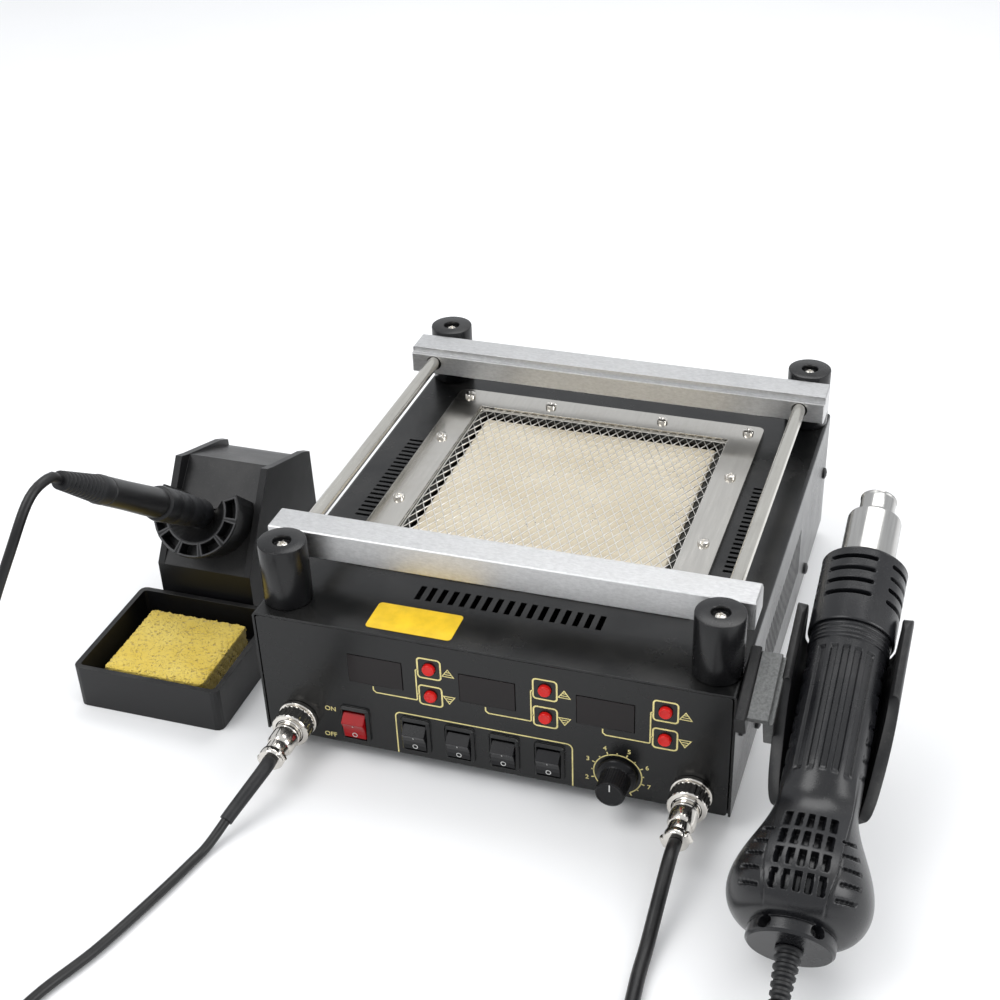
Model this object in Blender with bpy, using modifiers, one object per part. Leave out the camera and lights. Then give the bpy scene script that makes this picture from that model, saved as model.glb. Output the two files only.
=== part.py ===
"""BGA rework station: an infrared preheater with a board holder, a hot-air gun in its
side cradle, and a soldering iron in its own stand with a sponge tray.

Blender 4.5, metres, +Z up. Run with: blender --background --python part.py
+X runs across the front panel to the gun, +Y goes from the front panel to the back.
"""
import bpy
import bmesh
import numpy as np
from math import cos, sin, tan, pi, radians, ceil, sqrt
from mathutils import Matrix, Vector

# Common clearances and finishes of the sheet metal and mouldings
FIT = 0.0003             # gap between pieces that touch
SHEET = 0.0012           # case sheet metal
ROUND_STEPS = 24         # sides of the larger turned pieces
SMALL_STEPS = 12         # sides of the smaller turned pieces

# Case
CASE_W = 0.250
CASE_D = 0.280
CASE_H = 0.076
FOOT_H = 0.008
FOOT_R = 0.008
FOOT_INSET_X = 0.020
FOOT_INSET_Y = 0.025
CASE_TOP = FOOT_H + CASE_H
COVER_BEND = 0.002       # outer radius of the cover's long edges
PAN_FLANGE = 0.012       # height of the base pan's side flanges
PAN_LIP = 0.0018         # height of the base pan's front lip above its floor

# Front panel
PANEL_T = 0.002
PANEL_EDGE = 0.0008      # dark gap between the panel and the cover
PANEL_CORNER = 0.0015
DISPLAY_W = 0.029
DISPLAY_H = 0.017
DISPLAY_Z = FOOT_H + 0.0515
DISPLAY_XS = tuple(share * CASE_W for share in (-0.238, 0.0012, 0.2444))
DISPLAY_FRAME = 0.002    # how far the module behind is wider than its window
DISPLAY_DEPTH = 0.008
BUTTON_R = 0.00325
BUTTON_OUT = 0.0022
BUTTON_COLLAR = 0.0013   # collar behind the panel, beyond the cap's radius
BUTTON_XS = tuple(share * CASE_W for share in (-0.120, 0.1216, 0.364))
BUTTON_UP_Z = FOOT_H + 0.0597
BUTTON_DOWN_Z = FOOT_H + 0.0425

# Rocker switches
BEZEL_W = 0.016
BEZEL_H = 0.0215
BEZEL_OUT = 0.0022
BEZEL_CHAMFER = 0.0012
ROCKER_W = 0.012
ROCKER_XS = tuple(share * CASE_W for share in (-0.292, -0.158, -0.0624, 0.0332, 0.1288))
ROCKER_NAMES = ("rocker_power", "rocker_iron", "rocker_air", "rocker_heater", "rocker_fan")
ROCKER_Z = FOOT_H + 0.0149
ROCKER_PIVOT_Y = 0.004
ROCKER_WELL_H = 0.0186
ROCKER_WELL_Y = 0.009
ROCKER_BACK = 0.0105
ROCKER_TILT = radians(16)
ROCKER_PIN_R = 0.0012
ROCKER_PIN_OUT = 0.0009
PIN_STEPS = 8

# Control knob
KNOB_X = 0.270 * CASE_W
KNOB_Z = FOOT_H + 0.0142
KNOB_R = 0.00765
KNOB_SKIRT_R = 0.0105
KNOB_OUT = 0.016
KNOB_SHAFT_R = 0.003
KNOB_SHAFT_IN = 0.006

# Round connectors on the panel
SOCKET_X = 0.422 * CASE_W
SOCKET_Z = FOOT_H + 0.012
SOCKET_FLANGE_R = 0.0106
SOCKET_FLANGE_T = 0.0027
SOCKET_BODY_R = 0.008
SOCKET_BODY_IN = 0.013
SOCKET_NOSE_R = 0.0084
SOCKET_NOSE_OUT = 0.009
PLUG_RING_R = 0.0102
PLUG_RING_OUT = 0.013
PLUG_BARREL_R = 0.007
PLUG_BARREL_OUT = 0.026
PLUG_CLAMP_R = 0.008
PLUG_OUT = 0.037

# Mains inlet in the rear wall
INLET_W = 0.0275
INLET_H = 0.0200
INLET_X = 0.320 * CASE_W
INLET_Z = FOOT_H + 0.030
INLET_FLANGE = 0.004
INLET_DEPTH = 0.018
INLET_WELL = 0.012

# Vents in the cover
FRONT_SLOT = (0.003, 0.012)      # across, along Y
FRONT_SLOTS = 17
FRONT_SLOT_PITCH = 0.024 * CASE_W
FRONT_SLOT_Y = 0.039
EDGE_SLOT = (0.013, 0.0022)
EDGE_SLOTS = 20
EDGE_SLOT_PITCH = 0.0044
EDGE_SLOT_X = CASE_W / 2 - 0.0217
EDGE_SLOT_Y = CASE_D / 2 + 0.002
SIDE_LOUVRE = (0.0025, 0.030)    # along Y, along Z
SIDE_LOUVRES = 22
SIDE_LOUVRE_PITCH = 0.005
SIDE_LOUVRE_Y = CASE_D / 2 - 0.0075
SIDE_LOUVRE_Z = FOOT_H + 0.037

# Infrared heater on top of the case
HEATER_X = -0.0039
HEATER_Y = CASE_D / 2 + 0.012
GRID_SIZE = 0.6096 * CASE_W
COVER_WINDOW = GRID_SIZE + 0.0046
FRAME_BORDER = 0.0188    # width of the frame round the grid
FRAME_SIZE = GRID_SIZE + 2 * FRAME_BORDER
FRAME_T = 0.003
FRAME_CORNER = 0.004
TRAY_SIZE = GRID_SIZE + 0.0031
TRAY_WALL = 0.0012
TRAY_LIP_OPEN = GRID_SIZE - 0.0074
TRAY_DEPTH = 0.0172
TILE_SIZE = GRID_SIZE - 0.0104
TILE_T = 0.0137
FRAME_OPEN = GRID_SIZE + 2 * FIT
GRID_T = 0.0008
GRID_BORDER = 0.0022
GRID_WIRE = 0.0011
GRID_COLS = 10           # diamonds across X
GRID_ROWS = 5            # diamonds along Y

# Board holder: four posts, two rods and two sliding bars
POST_R = 0.0125
POST_X = CASE_W / 2 - 0.0131
POST_FRONT_Y = 0.0173
POST_REAR_Y = CASE_D - 0.012
POST_TOP = FOOT_H + 0.111
POST_SINK_R = 0.00475
POST_SINK = 0.003
ROD_R = 0.00375
ROD_Z = FOOT_H + 0.1014
ROD_GRIP = 0.004         # how far a rod runs past its post's axis
BAR_OVER = 0.0143        # bar end beyond the rod's axis
BAR_D = 0.0203
BAR_H = 0.0158
BAR_HOLE_R = 0.0046
BAR_REBATE = (0.003, 0.0035)
BAR_CHAMFER = 0.0006

# Hot-air gun, measured along its axis from the end cap at 0 to the nozzle tip
GUN_TAIL = Vector((CASE_W / 2 + 0.045, -0.0977, FOOT_H + 0.0235))
GUN_TILT = radians(22)
GUN_END_R = 0.0187
GUN_BULB_R = 0.0324
GUN_BULB_S = 0.024
GUN_NECK_S = 0.070
GUN_HANDLE_R = 0.0186
GUN_SHELL_S = 0.1577
GUN_COLLAR_S = 0.1493    # underside of the collar that keeps the gun from sliding down
GUN_COLLAR_R = 0.0195
GUN_SLIT_W = 0.0018
GUN_LOUVRES = 7
GUN_LOUVRE_S = 0.084
GUN_LOUVRE_PITCH = 0.0088
GUN_LOUVRE_FLOOR = 0.0170
GUN_GILLS = 5
GUN_GILL_S = 0.016
GUN_GILL_PITCH = 0.007
GUN_GILL_FLOOR = 0.0165
GUN_WELL_R = 0.0026
GUN_WELL_X = 0.0115
GUN_WELL_S = 0.0040
GUN_WELL_FLOOR = 0.0125
GUN_GUARD_R = 0.021
GUN_GUARD_S = 0.200
GUN_GUARD_WALL = 0.0018
GUN_SLOT_S = (0.1755, 0.1825, 0.189, 0.196)
GUN_SLOT_H = 0.0032
GUN_SLOT_SECTORS = 6
GUN_SLOT_RIB = radians(16)
GUN_TUBE_R = 0.0135
GUN_TUBE_S = 0.2225
GUN_TIP_R = 0.0073
GUN_TIP_S = 0.2435
GUN_BORE_R = 0.0061
GUN_BORE_DEPTH = 0.014
GUN_RELIEF_L = 0.024
GUN_RELIEF_R = 0.005
GUN_RIBS = 4

# Cradle on the case's side
CRADLE_R = 0.0215        # inner radius of the trough
CRADLE_WALL = 0.006
CRADLE_S = 0.072         # lower end, along the gun's axis
CRADLE_ARM = radians(16) # how far the arms rise past the trough's middle
CRADLE_CUT = radians(10) # slope that shortens the arms towards the lower end
BRACKET_S = (0.110, 0.148)
BRACKET_DROP = 0.028
BRACKET_RISE = 0.006

# Stand for the soldering iron
STAND_X = -CASE_W / 2 - 0.074
STAND_W = 0.058
STAND_EAR = 0.004
STAND_FRONT_Y = 0.080
STAND_STEP_Z = 0.0423
STAND_PLATE_T = 0.0035
STAND_BACK_Y = 0.173
STAND_PEAK = (0.117, 0.093)
STAND_BACK_TOP = (0.163, 0.078)
STAND_SLOPE = radians(45.6)
STAND_PLATE_TOP_Y = 0.126

# Funnel and iron share one axis, measured from the funnel's front face
IRON_AT = Vector((STAND_X, 0.0815, 0.081))
IRON_RISE = radians(38)
FUNNEL_R = 0.026
FUNNEL_MOUTH_R = 0.017
FUNNEL_SEAT_S = -0.010
FUNNEL_NECK_S = -0.015
FUNNEL_NECK_R = 0.0043
FUNNEL_BACK_S = -0.031
FUNNEL_OPEN = radians(60)    # half angle of the gap at the top
FUNNEL_POCKETS = 7
FUNNEL_POCKET_DEPTH = 0.009
FUNNEL_POCKET_WALL = 0.0016
GRIP_R = 0.0086
GRIP_S = (FUNNEL_SEAT_S, 0.045)
HANDLE_R = (0.0080, 0.0063)
HANDLE_S = 0.100
IRON_RELIEF_S = 0.142
IRON_RELIEF_R = (0.0062, 0.0042)
BARREL_R = 0.0035
BARREL_S = -0.060
IRON_TIP_S = -0.075

# Sponge tray
WELL_X = (STAND_X - 0.040, STAND_X + 0.0467)
WELL_Y = (-0.002, 0.0765)
WELL_H = 0.026
WELL_WALL = 0.003
WELL_CORNER = 0.004
WELL_TAB_H = 0.006
SPONGE = (0.060, 0.056, 0.018)
SPONGE_AT = (STAND_X + 0.002, 0.0365)

# Cords
GUN_CORD_R = 0.0035
IRON_CORD_R = 0.0025
GUN_COIL_AT = (GUN_TAIL.x + 0.020, -0.230)
GUN_COIL_R = 0.039
GUN_COIL_T = 0.0145      # width and height of the coil
IRON_COIL_AT = (STAND_X + 0.014, -0.262)
IRON_COIL_R = 0.028
IRON_COIL_T = 0.0108
PLUG_BOOT_R = 0.0036

INK = (0.02, 0.02, 0.022)


def clear_scene():
    for obj in list(bpy.data.objects):
        bpy.data.objects.remove(obj, do_unlink=True)


def collection(name):
    made = bpy.data.collections.new(name)
    bpy.context.scene.collection.children.link(made)
    return made


def finish(name, colour, roughness, metallic=0.0):
    """A Principled material, made once for each name."""
    found = bpy.data.materials.get(name)
    if found:
        return found
    made = bpy.data.materials.new(name)
    made.use_nodes = True
    shader = made.node_tree.nodes["Principled BSDF"]
    shader.inputs["Base Color"].default_value = (*colour, 1.0)
    shader.inputs["Roughness"].default_value = roughness
    shader.inputs["Metallic"].default_value = metallic
    return made


def case_paint():
    return finish("case_paint", (0.028, 0.029, 0.030), 0.42)


def black_plastic():
    return finish("black_plastic", (0.030, 0.030, 0.033), 0.48)


def brushed_metal():
    return finish("brushed_metal", (0.62, 0.62, 0.60), 0.35, 1.0)


def bright_metal():
    return finish("bright_metal", (0.78, 0.77, 0.74), 0.16, 1.0)


def rubber():
    return finish("rubber", INK, 0.75)


def place(mesh, name, material=None, matrix=None, cutter=False):
    """Link a mesh as a named part, or as a hidden shape that cuts or joins."""
    obj = bpy.data.objects.new(name, mesh)
    if matrix is not None:
        obj.matrix_world = matrix
    if cutter:
        TOOLS.objects.link(obj)
        obj.hide_render = True
        obj.display_type = "WIRE"
        return obj
    PARTS.objects.link(obj)
    if material:
        mesh.materials.append(material)
    return obj


def mesh_of(bm, name):
    mesh = bpy.data.meshes.new(name)
    bm.normal_update()
    bm.to_mesh(mesh)
    bm.free()
    return mesh


def add_box(bm, low, high):
    made = bmesh.ops.create_cube(bm, size=1.0)["verts"]
    low, high = Vector(low), Vector(high)
    bmesh.ops.scale(bm, vec=high - low, verts=made)
    bmesh.ops.translate(bm, vec=(low + high) / 2, verts=made)
    return made


def boxes(name, corners, material=None, matrix=None, cutter=False, edge=0.0):
    """One mesh of boxes, each from its low and high corner."""
    bm = bmesh.new()
    for low, high in corners:
        add_box(bm, low, high)
    obj = place(mesh_of(bm, name), name, material, matrix, cutter)
    if edge:
        bevel(obj, edge)
    return obj


def bevel(obj, width, segments=1, angle=radians(40)):
    mod = obj.modifiers.new("edges", "BEVEL")
    mod.width = width
    mod.segments = segments
    mod.limit_method = "ANGLE"
    mod.angle_limit = angle
    mod.harden_normals = False
    return mod


def turned(name, profile, steps=ROUND_STEPS, material=None, matrix=None, cutter=False):
    """A profile of (radius, height) pairs, top to bottom, turned about local Z."""
    mesh = bpy.data.meshes.new(name)
    points = [(r, 0.0, z) for r, z in profile]
    mesh.from_pydata(points, [(k, k + 1) for k in range(len(points) - 1)], [])
    obj = place(mesh, name, material, matrix, cutter)
    mod = obj.modifiers.new("turn", "SCREW")
    mod.angle = 2 * pi
    mod.steps = steps
    mod.render_steps = steps
    mod.use_merge_vertices = True
    mod.merge_threshold = 0.00001
    mod.use_smooth_shade = True
    return obj


def arc(centre, radius, start, end, count):
    return [(centre[0] + radius * cos(a), centre[1] + radius * sin(a))
            for a in np.linspace(start, end, count)]


def rounded(low, high, radius, count=4):
    """Corner points of a rounded rectangle, anticlockwise."""
    points = []
    for k, (x, y) in enumerate(((high[0] - radius, high[1] - radius),
                                (low[0] + radius, high[1] - radius),
                                (low[0] + radius, low[1] + radius),
                                (high[0] - radius, low[1] + radius))):
        points += arc((x, y), radius, k * pi / 2, (k + 1) * pi / 2, count)
    return points


def circle(centre, radius, count):
    return arc(centre, radius, 0, 2 * pi * (count - 1) / count, count)


def slab(name, outlines, thickness, material=None, matrix=None, cutter=False):
    """A flat 2D curve filled between its outlines, thickened about local Z = 0."""
    curve = bpy.data.curves.new(name, "CURVE")
    curve.dimensions = "2D"
    curve.fill_mode = "BOTH"
    curve.extrude = thickness / 2
    for outline in outlines:
        spline = curve.splines.new("POLY")
        spline.points.add(len(outline) - 1)
        for point, (x, y) in zip(spline.points, outline):
            point.co = (x, y, 0.0, 1.0)
        spline.use_cyclic_u = True
    return baked(curve, name, material, matrix, cutter)


def baked(curve, name, material=None, matrix=None, cutter=False):
    """Turn a curve into a welded mesh object."""
    helper = bpy.data.objects.new(name + "_curve", curve)
    bpy.context.scene.collection.objects.link(helper)
    bpy.context.view_layer.update()
    graph = bpy.context.evaluated_depsgraph_get()
    mesh = bpy.data.meshes.new_from_object(helper.evaluated_get(graph))
    bpy.data.objects.remove(helper, do_unlink=True)
    bpy.data.curves.remove(curve)
    bm = bmesh.new()
    bm.from_mesh(mesh)
    bmesh.ops.remove_doubles(bm, verts=bm.verts, dist=0.000005)
    bmesh.ops.recalc_face_normals(bm, faces=bm.faces)
    bm.to_mesh(mesh)
    bm.free()
    mesh.name = name
    return place(mesh, name, material, matrix, cutter)


def boolean(obj, other, operation):
    mod = obj.modifiers.new(other.name, "BOOLEAN")
    mod.operation = operation
    mod.solver = "EXACT"
    mod.object = other


def cut(obj, *others):
    for other in others:
        boolean(obj, other, "DIFFERENCE")
    return obj


def join(obj, *others):
    for other in others:
        boolean(obj, other, "UNION")
    return obj


def at(*position):
    return Matrix.Translation(Vector(position))


def facing_front(x, y, z):
    """Local Z points out of the front panel (-Y), local Y stays up."""
    return at(x, y, z) @ Matrix.Rotation(pi / 2, 4, "X")


def across(x=0.0):
    """Local X runs along +Y and local Y along +Z, so local Z is thickness along +X."""
    return at(x, 0, 0) @ Matrix(((0, 0, 1, 0), (1, 0, 0, 0), (0, 1, 0, 0), (0, 0, 0, 1)))


def along_y():
    """Local X stays, local Y runs along +Z, so local Z is thickness along -Y."""
    return Matrix.Rotation(pi / 2, 4, "X")


def gun_frame():
    """Local Z runs up the gun to its nozzle, local -Y points up out of the cradle."""
    return Matrix.Translation(GUN_TAIL) @ Matrix.Rotation(-(pi / 2 - GUN_TILT), 4, "X")


def iron_frame():
    """Local Z runs up the iron to its cord, local +Y points up."""
    return Matrix.Translation(IRON_AT) @ Matrix.Rotation(pi / 2 - IRON_RISE, 4, "X")


def base_pan():
    half = CASE_W / 2 - SHEET - FIT
    front = PANEL_T + FIT
    floor = FOOT_H + SHEET
    rear_top = CASE_TOP - SHEET - FIT
    pan = boxes("base_pan", [((-half, front, FOOT_H), (half, CASE_D, rear_top))], case_paint())
    far = 1.0
    cut(pan,
        boxes("pan_inside", [((-half + SHEET, front + SHEET, floor),
                              (half - SHEET, CASE_D - SHEET, far))], cutter=True),
        boxes("pan_above_flanges", [((-far, -far, floor + PAN_FLANGE),
                                     (far, CASE_D - SHEET, far))], cutter=True),
        boxes("pan_above_lip", [((-far, -far, floor + PAN_LIP),
                                 (far, front + SHEET + FIT, far))], cutter=True),
        boxes("pan_inlet_hole", [((INLET_X - INLET_W / 2, CASE_D - 2 * SHEET, INLET_Z - INLET_H / 2),
                                  (INLET_X + INLET_W / 2, CASE_D + SHEET, INLET_Z + INLET_H / 2))],
              cutter=True))
    return pan


def slot_row(count, pitch, centre, size, depth, run, through):
    """Boxes for one row of slots. run and through are the axes of the row and of the depth."""
    rows = []
    for k in range(count):
        middle = Vector(centre)
        middle[run] += (k - (count - 1) / 2) * pitch
        half = Vector(size) / 2
        half[through] = depth / 2
        rows.append((middle - half, middle + half))
    return rows


def top_cover():
    half = CASE_W / 2
    low, high = FOOT_H, CASE_TOP
    inner = COVER_BEND - SHEET
    outline = [(half, low), *arc((half - COVER_BEND, high - COVER_BEND), COVER_BEND, 0, pi / 2, 4),
               *arc((COVER_BEND - half, high - COVER_BEND), COVER_BEND, pi / 2, pi, 4), (-half, low),
               (SHEET - half, low),
               *arc((COVER_BEND - half, high - COVER_BEND), inner, pi, pi / 2, 4),
               *arc((half - COVER_BEND, high - COVER_BEND), inner, pi / 2, 0, 4), (half - SHEET, low)]
    cover = slab("top_cover", [outline], CASE_D, case_paint(), at(0, CASE_D / 2, 0) @ along_y())
    deep = 4 * SHEET
    top = CASE_TOP - SHEET / 2
    wide, long = FRONT_SLOT
    slots = slot_row(FRONT_SLOTS, FRONT_SLOT_PITCH, (0, FRONT_SLOT_Y, top), (wide, long, 0), deep, 0, 2)
    long, wide = EDGE_SLOT
    for side in (-1, 1):
        slots += slot_row(EDGE_SLOTS, EDGE_SLOT_PITCH, (side * EDGE_SLOT_X, EDGE_SLOT_Y, top),
                          (long, wide, 0), deep, 1, 2)
    wide, tall = SIDE_LOUVRE
    for side in (-1, 1):
        slots += slot_row(SIDE_LOUVRES, SIDE_LOUVRE_PITCH,
                          (side * (half - SHEET / 2), SIDE_LOUVRE_Y, SIDE_LOUVRE_Z),
                          (0, wide, tall), deep, 1, 0)
    window = COVER_WINDOW / 2
    slots.append(((HEATER_X - window, HEATER_Y - window, top - deep),
                  (HEATER_X + window, HEATER_Y + window, top + deep)))
    return cut(cover, boxes("cover_vents", slots, cutter=True))


def feet():
    profile = [(0, FOOT_H - FIT), (FOOT_R, FOOT_H - FIT), (FOOT_R, 0.002), (FOOT_R - 0.001, 0), (0, 0)]
    for name, sx, y in (("foot_front_left", -1, FOOT_INSET_Y), ("foot_front_right", 1, FOOT_INSET_Y),
                        ("foot_rear_left", -1, CASE_D - FOOT_INSET_Y),
                        ("foot_rear_right", 1, CASE_D - FOOT_INSET_Y)):
        turned(name, profile, SMALL_STEPS, rubber(), at(sx * (CASE_W / 2 - FOOT_INSET_X), y, 0))


def front_panel():
    half = CASE_W / 2 - SHEET - PANEL_EDGE
    low, high = FOOT_H + FIT, CASE_TOP - SHEET - FIT
    outlines = [rounded((-half, low), (half, high), PANEL_CORNER)]
    for x in DISPLAY_XS:
        w, h = DISPLAY_W / 2 + FIT, DISPLAY_H / 2 + FIT
        outlines.append([(x - w, DISPLAY_Z - h), (x + w, DISPLAY_Z - h),
                         (x + w, DISPLAY_Z + h), (x - w, DISPLAY_Z + h)])
    for x in BUTTON_XS:
        for z in (BUTTON_UP_Z, BUTTON_DOWN_Z):
            outlines.append(circle((x, z), BUTTON_R + FIT, SMALL_STEPS))
    outlines.append(circle((KNOB_X, KNOB_Z), KNOB_SHAFT_R + FIT, SMALL_STEPS))
    for side in (-1, 1):
        outlines.append(circle((side * SOCKET_X, SOCKET_Z), SOCKET_BODY_R + FIT, SMALL_STEPS))
    panel = slab("front_panel", outlines, PANEL_T, case_paint(), at(0, PANEL_T / 2, 0) @ along_y())
    w, h = BEZEL_W / 2, BEZEL_H / 2
    bezels = boxes("bezels", [((x - w, -BEZEL_OUT, ROCKER_Z - h), (x + w, ROCKER_BACK, ROCKER_Z + h))
                              for x in ROCKER_XS], cutter=True)
    bevel(bezels, BEZEL_CHAMFER)
    w, h = ROCKER_W / 2 + FIT, ROCKER_WELL_H / 2
    wells = boxes("rocker_wells", [((x - w, -2 * BEZEL_OUT, ROCKER_Z - h),
                                    (x + w, ROCKER_WELL_Y, ROCKER_Z + h)) for x in ROCKER_XS],
                  cutter=True)
    join(panel, bezels)
    cut(panel, wells)
    reach = ROCKER_W / 2 + ROCKER_PIN_OUT + FIT
    for x in ROCKER_XS:
        cut(panel, pin_bar(f"pin_hole_{x:.4f}", x, ROCKER_PIN_R + FIT, reach, cutter=True))
    return panel


def pin_bar(name, x, radius, reach, cutter=True):
    """A pivot pin along X through a rocker."""
    profile = [(0, reach), (radius, reach), (radius, -reach), (0, -reach)]
    matrix = at(x, ROCKER_PIVOT_Y, ROCKER_Z) @ Matrix.Rotation(pi / 2, 4, "Y")
    return turned(name, profile, PIN_STEPS, None, matrix, cutter)


def rockers():
    """Rocker caps, each with its origin on its pivot, resting with the lower end in."""
    side = [(0.0082, 0.0030), (0.0056, 0.0086), (0.0030, 0.0080), (0.0, 0.0078), (-0.0030, 0.0080),
            (-0.0056, 0.0086), (-0.0082, 0.0030), (-0.0060, -0.0020), (0.0060, -0.0020)]
    black_cap = finish("rocker_plastic", INK, 0.35)
    red_cap = finish("rocker_red", (0.35, 0.008, 0.012), 0.2)
    for name, x in zip(ROCKER_NAMES, ROCKER_XS):
        cap_plastic = red_cap if name == "rocker_power" else black_cap
        turn = Matrix.Rotation(ROCKER_TILT, 4, "X")
        matrix = at(x, ROCKER_PIVOT_Y, ROCKER_Z) @ turn @ across()
        outline = [(-out, up) for up, out in side]
        cap = slab(name, [outline], ROCKER_W, cap_plastic, matrix)
        join(cap, pin_bar(name + "_pin", x, ROCKER_PIN_R, ROCKER_W / 2 + ROCKER_PIN_OUT))


def displays():
    glass = finish("display_filter", (0.10, 0.005, 0.006), 0.12)
    for name, x in zip(("display_iron", "display_air", "display_heater"), DISPLAY_XS):
        w, h = DISPLAY_W / 2, DISPLAY_H / 2
        back = PANEL_T + FIT
        window = boxes(name, [((x - w, -FIT, DISPLAY_Z - h), (x + w, back + FIT, DISPLAY_Z + h))], glass)
        w, h = w + DISPLAY_FRAME, h + DISPLAY_FRAME
        join(window, boxes(name + "_module", [((x - w, back, DISPLAY_Z - h),
                                               (x + w, back + DISPLAY_DEPTH, DISPLAY_Z + h))],
                           cutter=True))


def buttons():
    red = finish("button_red", (0.62, 0.02, 0.02), 0.35)
    collar_y = -(PANEL_T + FIT)
    profile = [(0, BUTTON_OUT), (BUTTON_R - 0.0006, BUTTON_OUT), (BUTTON_R, BUTTON_OUT - 0.0006),
               (BUTTON_R, collar_y), (BUTTON_R + BUTTON_COLLAR, collar_y),
               (BUTTON_R + BUTTON_COLLAR, collar_y - 0.0012), (0.0015, collar_y - 0.0012),
               (0.0015, collar_y - 0.004), (0, collar_y - 0.004)]
    for column, x in zip(("iron", "air", "heater"), BUTTON_XS):
        for row, z in (("up", BUTTON_UP_Z), ("down", BUTTON_DOWN_Z)):
            turned(f"button_{column}_{row}", profile, SMALL_STEPS, red, facing_front(x, 0, z))


def knob():
    profile = [(0, KNOB_OUT), (KNOB_R - 0.0008, KNOB_OUT), (KNOB_R, KNOB_OUT - 0.0008),
               (KNOB_R + 0.0004, 0.0042), (KNOB_SKIRT_R - 0.0006, 0.0030), (KNOB_SKIRT_R, 0.0024),
               (KNOB_SKIRT_R, FIT), (KNOB_SHAFT_R, FIT), (KNOB_SHAFT_R, -KNOB_SHAFT_IN),
               (0, -KNOB_SHAFT_IN)]
    body = turned("knob", profile, ROUND_STEPS, black_plastic(), facing_front(KNOB_X, 0, KNOB_Z))
    groove = boxes("knob_groove", [((KNOB_X - 0.0005, -KNOB_OUT - 0.001, KNOB_Z + 0.0025),
                                    (KNOB_X + 0.0005, -KNOB_OUT + 0.0006, KNOB_Z + 0.012))], cutter=True)
    return cut(body, groove)


def sockets():
    seat = FIT + SOCKET_FLANGE_T
    socket = [(0, 0.004), (0.0066, 0.004), (0.0066, SOCKET_NOSE_OUT), (SOCKET_NOSE_R, SOCKET_NOSE_OUT),
              (SOCKET_NOSE_R, seat), (SOCKET_FLANGE_R, seat), (SOCKET_FLANGE_R, FIT),
              (SOCKET_BODY_R, FIT), (SOCKET_BODY_R, -SOCKET_BODY_IN), (0, -SOCKET_BODY_IN)]
    mouth = SOCKET_NOSE_OUT + FIT
    base = seat + FIT
    for side, name in ((-1, "left"), (1, "right")):
        boot = PLUG_BOOT_R if side < 0 else GUN_CORD_R + FIT
        plug = [(0, PLUG_OUT), (boot, PLUG_OUT), (PLUG_CLAMP_R, PLUG_OUT - 0.001),
                (PLUG_CLAMP_R, PLUG_BARREL_OUT), (PLUG_BARREL_R, PLUG_BARREL_OUT),
                (PLUG_BARREL_R, PLUG_RING_OUT + 0.0008), (PLUG_RING_R - 0.0008, PLUG_RING_OUT),
                (PLUG_RING_R, PLUG_RING_OUT - 0.0008), (PLUG_RING_R, base),
                (SOCKET_NOSE_R + FIT, base), (SOCKET_NOSE_R + FIT, mouth), (0, mouth)]
        matrix = facing_front(side * SOCKET_X, 0, SOCKET_Z)
        turned("socket_" + name, socket, ROUND_STEPS, bright_metal(), matrix)
        turned("plug_" + name, plug, ROUND_STEPS, bright_metal(), matrix)


def mains_inlet():
    w, h = INLET_W / 2 - FIT, INLET_H / 2 - FIT
    seat = CASE_D + FIT
    body = boxes("mains_inlet", [((INLET_X - w - INLET_FLANGE, seat, INLET_Z - h - INLET_FLANGE),
                                  (INLET_X + w + INLET_FLANGE, seat + 0.0025, INLET_Z + h + INLET_FLANGE))],
                 black_plastic(), edge=0.0008)
    join(body, boxes("inlet_body", [((INLET_X - w, CASE_D - INLET_DEPTH, INLET_Z - h),
                                     (INLET_X + w, seat + 0.001, INLET_Z + h))], cutter=True))
    wall = 0.0018
    cut(body, boxes("inlet_well", [((INLET_X - w + wall, CASE_D - INLET_WELL, INLET_Z - h + wall),
                                    (INLET_X + w - wall, CASE_D + 0.01, INLET_Z + h - wall))],
                    cutter=True))


def centred(size, low, high):
    half = size / 2
    return ((HEATER_X - half, HEATER_Y - half, low), (HEATER_X + half, HEATER_Y + half, high))


def heater():
    frame_low = CASE_TOP + FIT
    here = (HEATER_X, HEATER_Y)

    def square(size, corner):
        half = size / 2
        return rounded((here[0] - half, here[1] - half), (here[0] + half, here[1] + half), corner)

    slab("heater_frame", [square(FRAME_SIZE, FRAME_CORNER), square(FRAME_OPEN, 0.0005)], FRAME_T,
         brushed_metal(), at(0, 0, frame_low + FRAME_T / 2))
    steel = finish("tray_steel", (0.45, 0.45, 0.44), 0.4, 1.0)
    tray_top, tray_low = CASE_TOP, CASE_TOP - TRAY_DEPTH
    tray = boxes("heater_tray", [centred(TRAY_SIZE, tray_low, tray_top)], steel)
    cut(tray,
        boxes("tray_inside", [centred(TRAY_SIZE - 2 * TRAY_WALL, tray_low + TRAY_WALL,
                                      tray_top - TRAY_WALL)], cutter=True),
        boxes("tray_mouth", [centred(TRAY_LIP_OPEN, tray_top - 2 * TRAY_WALL, tray_top + TRAY_WALL)],
              cutter=True))
    tile_low = tray_low + TRAY_WALL + FIT
    ceramic = finish("tile_ceramic", (0.80, 0.74, 0.62), 0.55)
    boxes("heater_tile", [centred(TILE_SIZE, tile_low, tile_low + TILE_T)], ceramic, edge=0.0008)
    half = GRID_SIZE / 2
    corner = Vector((here[0] - half, here[1] - half))
    outlines = [[corner, corner + Vector((GRID_SIZE, 0)), corner + Vector((GRID_SIZE, GRID_SIZE)),
                 corner + Vector((0, GRID_SIZE))]]
    outlines += grid_holes(corner + Vector((GRID_BORDER, GRID_BORDER)), GRID_SIZE - 2 * GRID_BORDER)
    slab("guard_grid", outlines, GRID_T, bright_metal(), at(0, 0, frame_low + GRID_T / 2))


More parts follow.
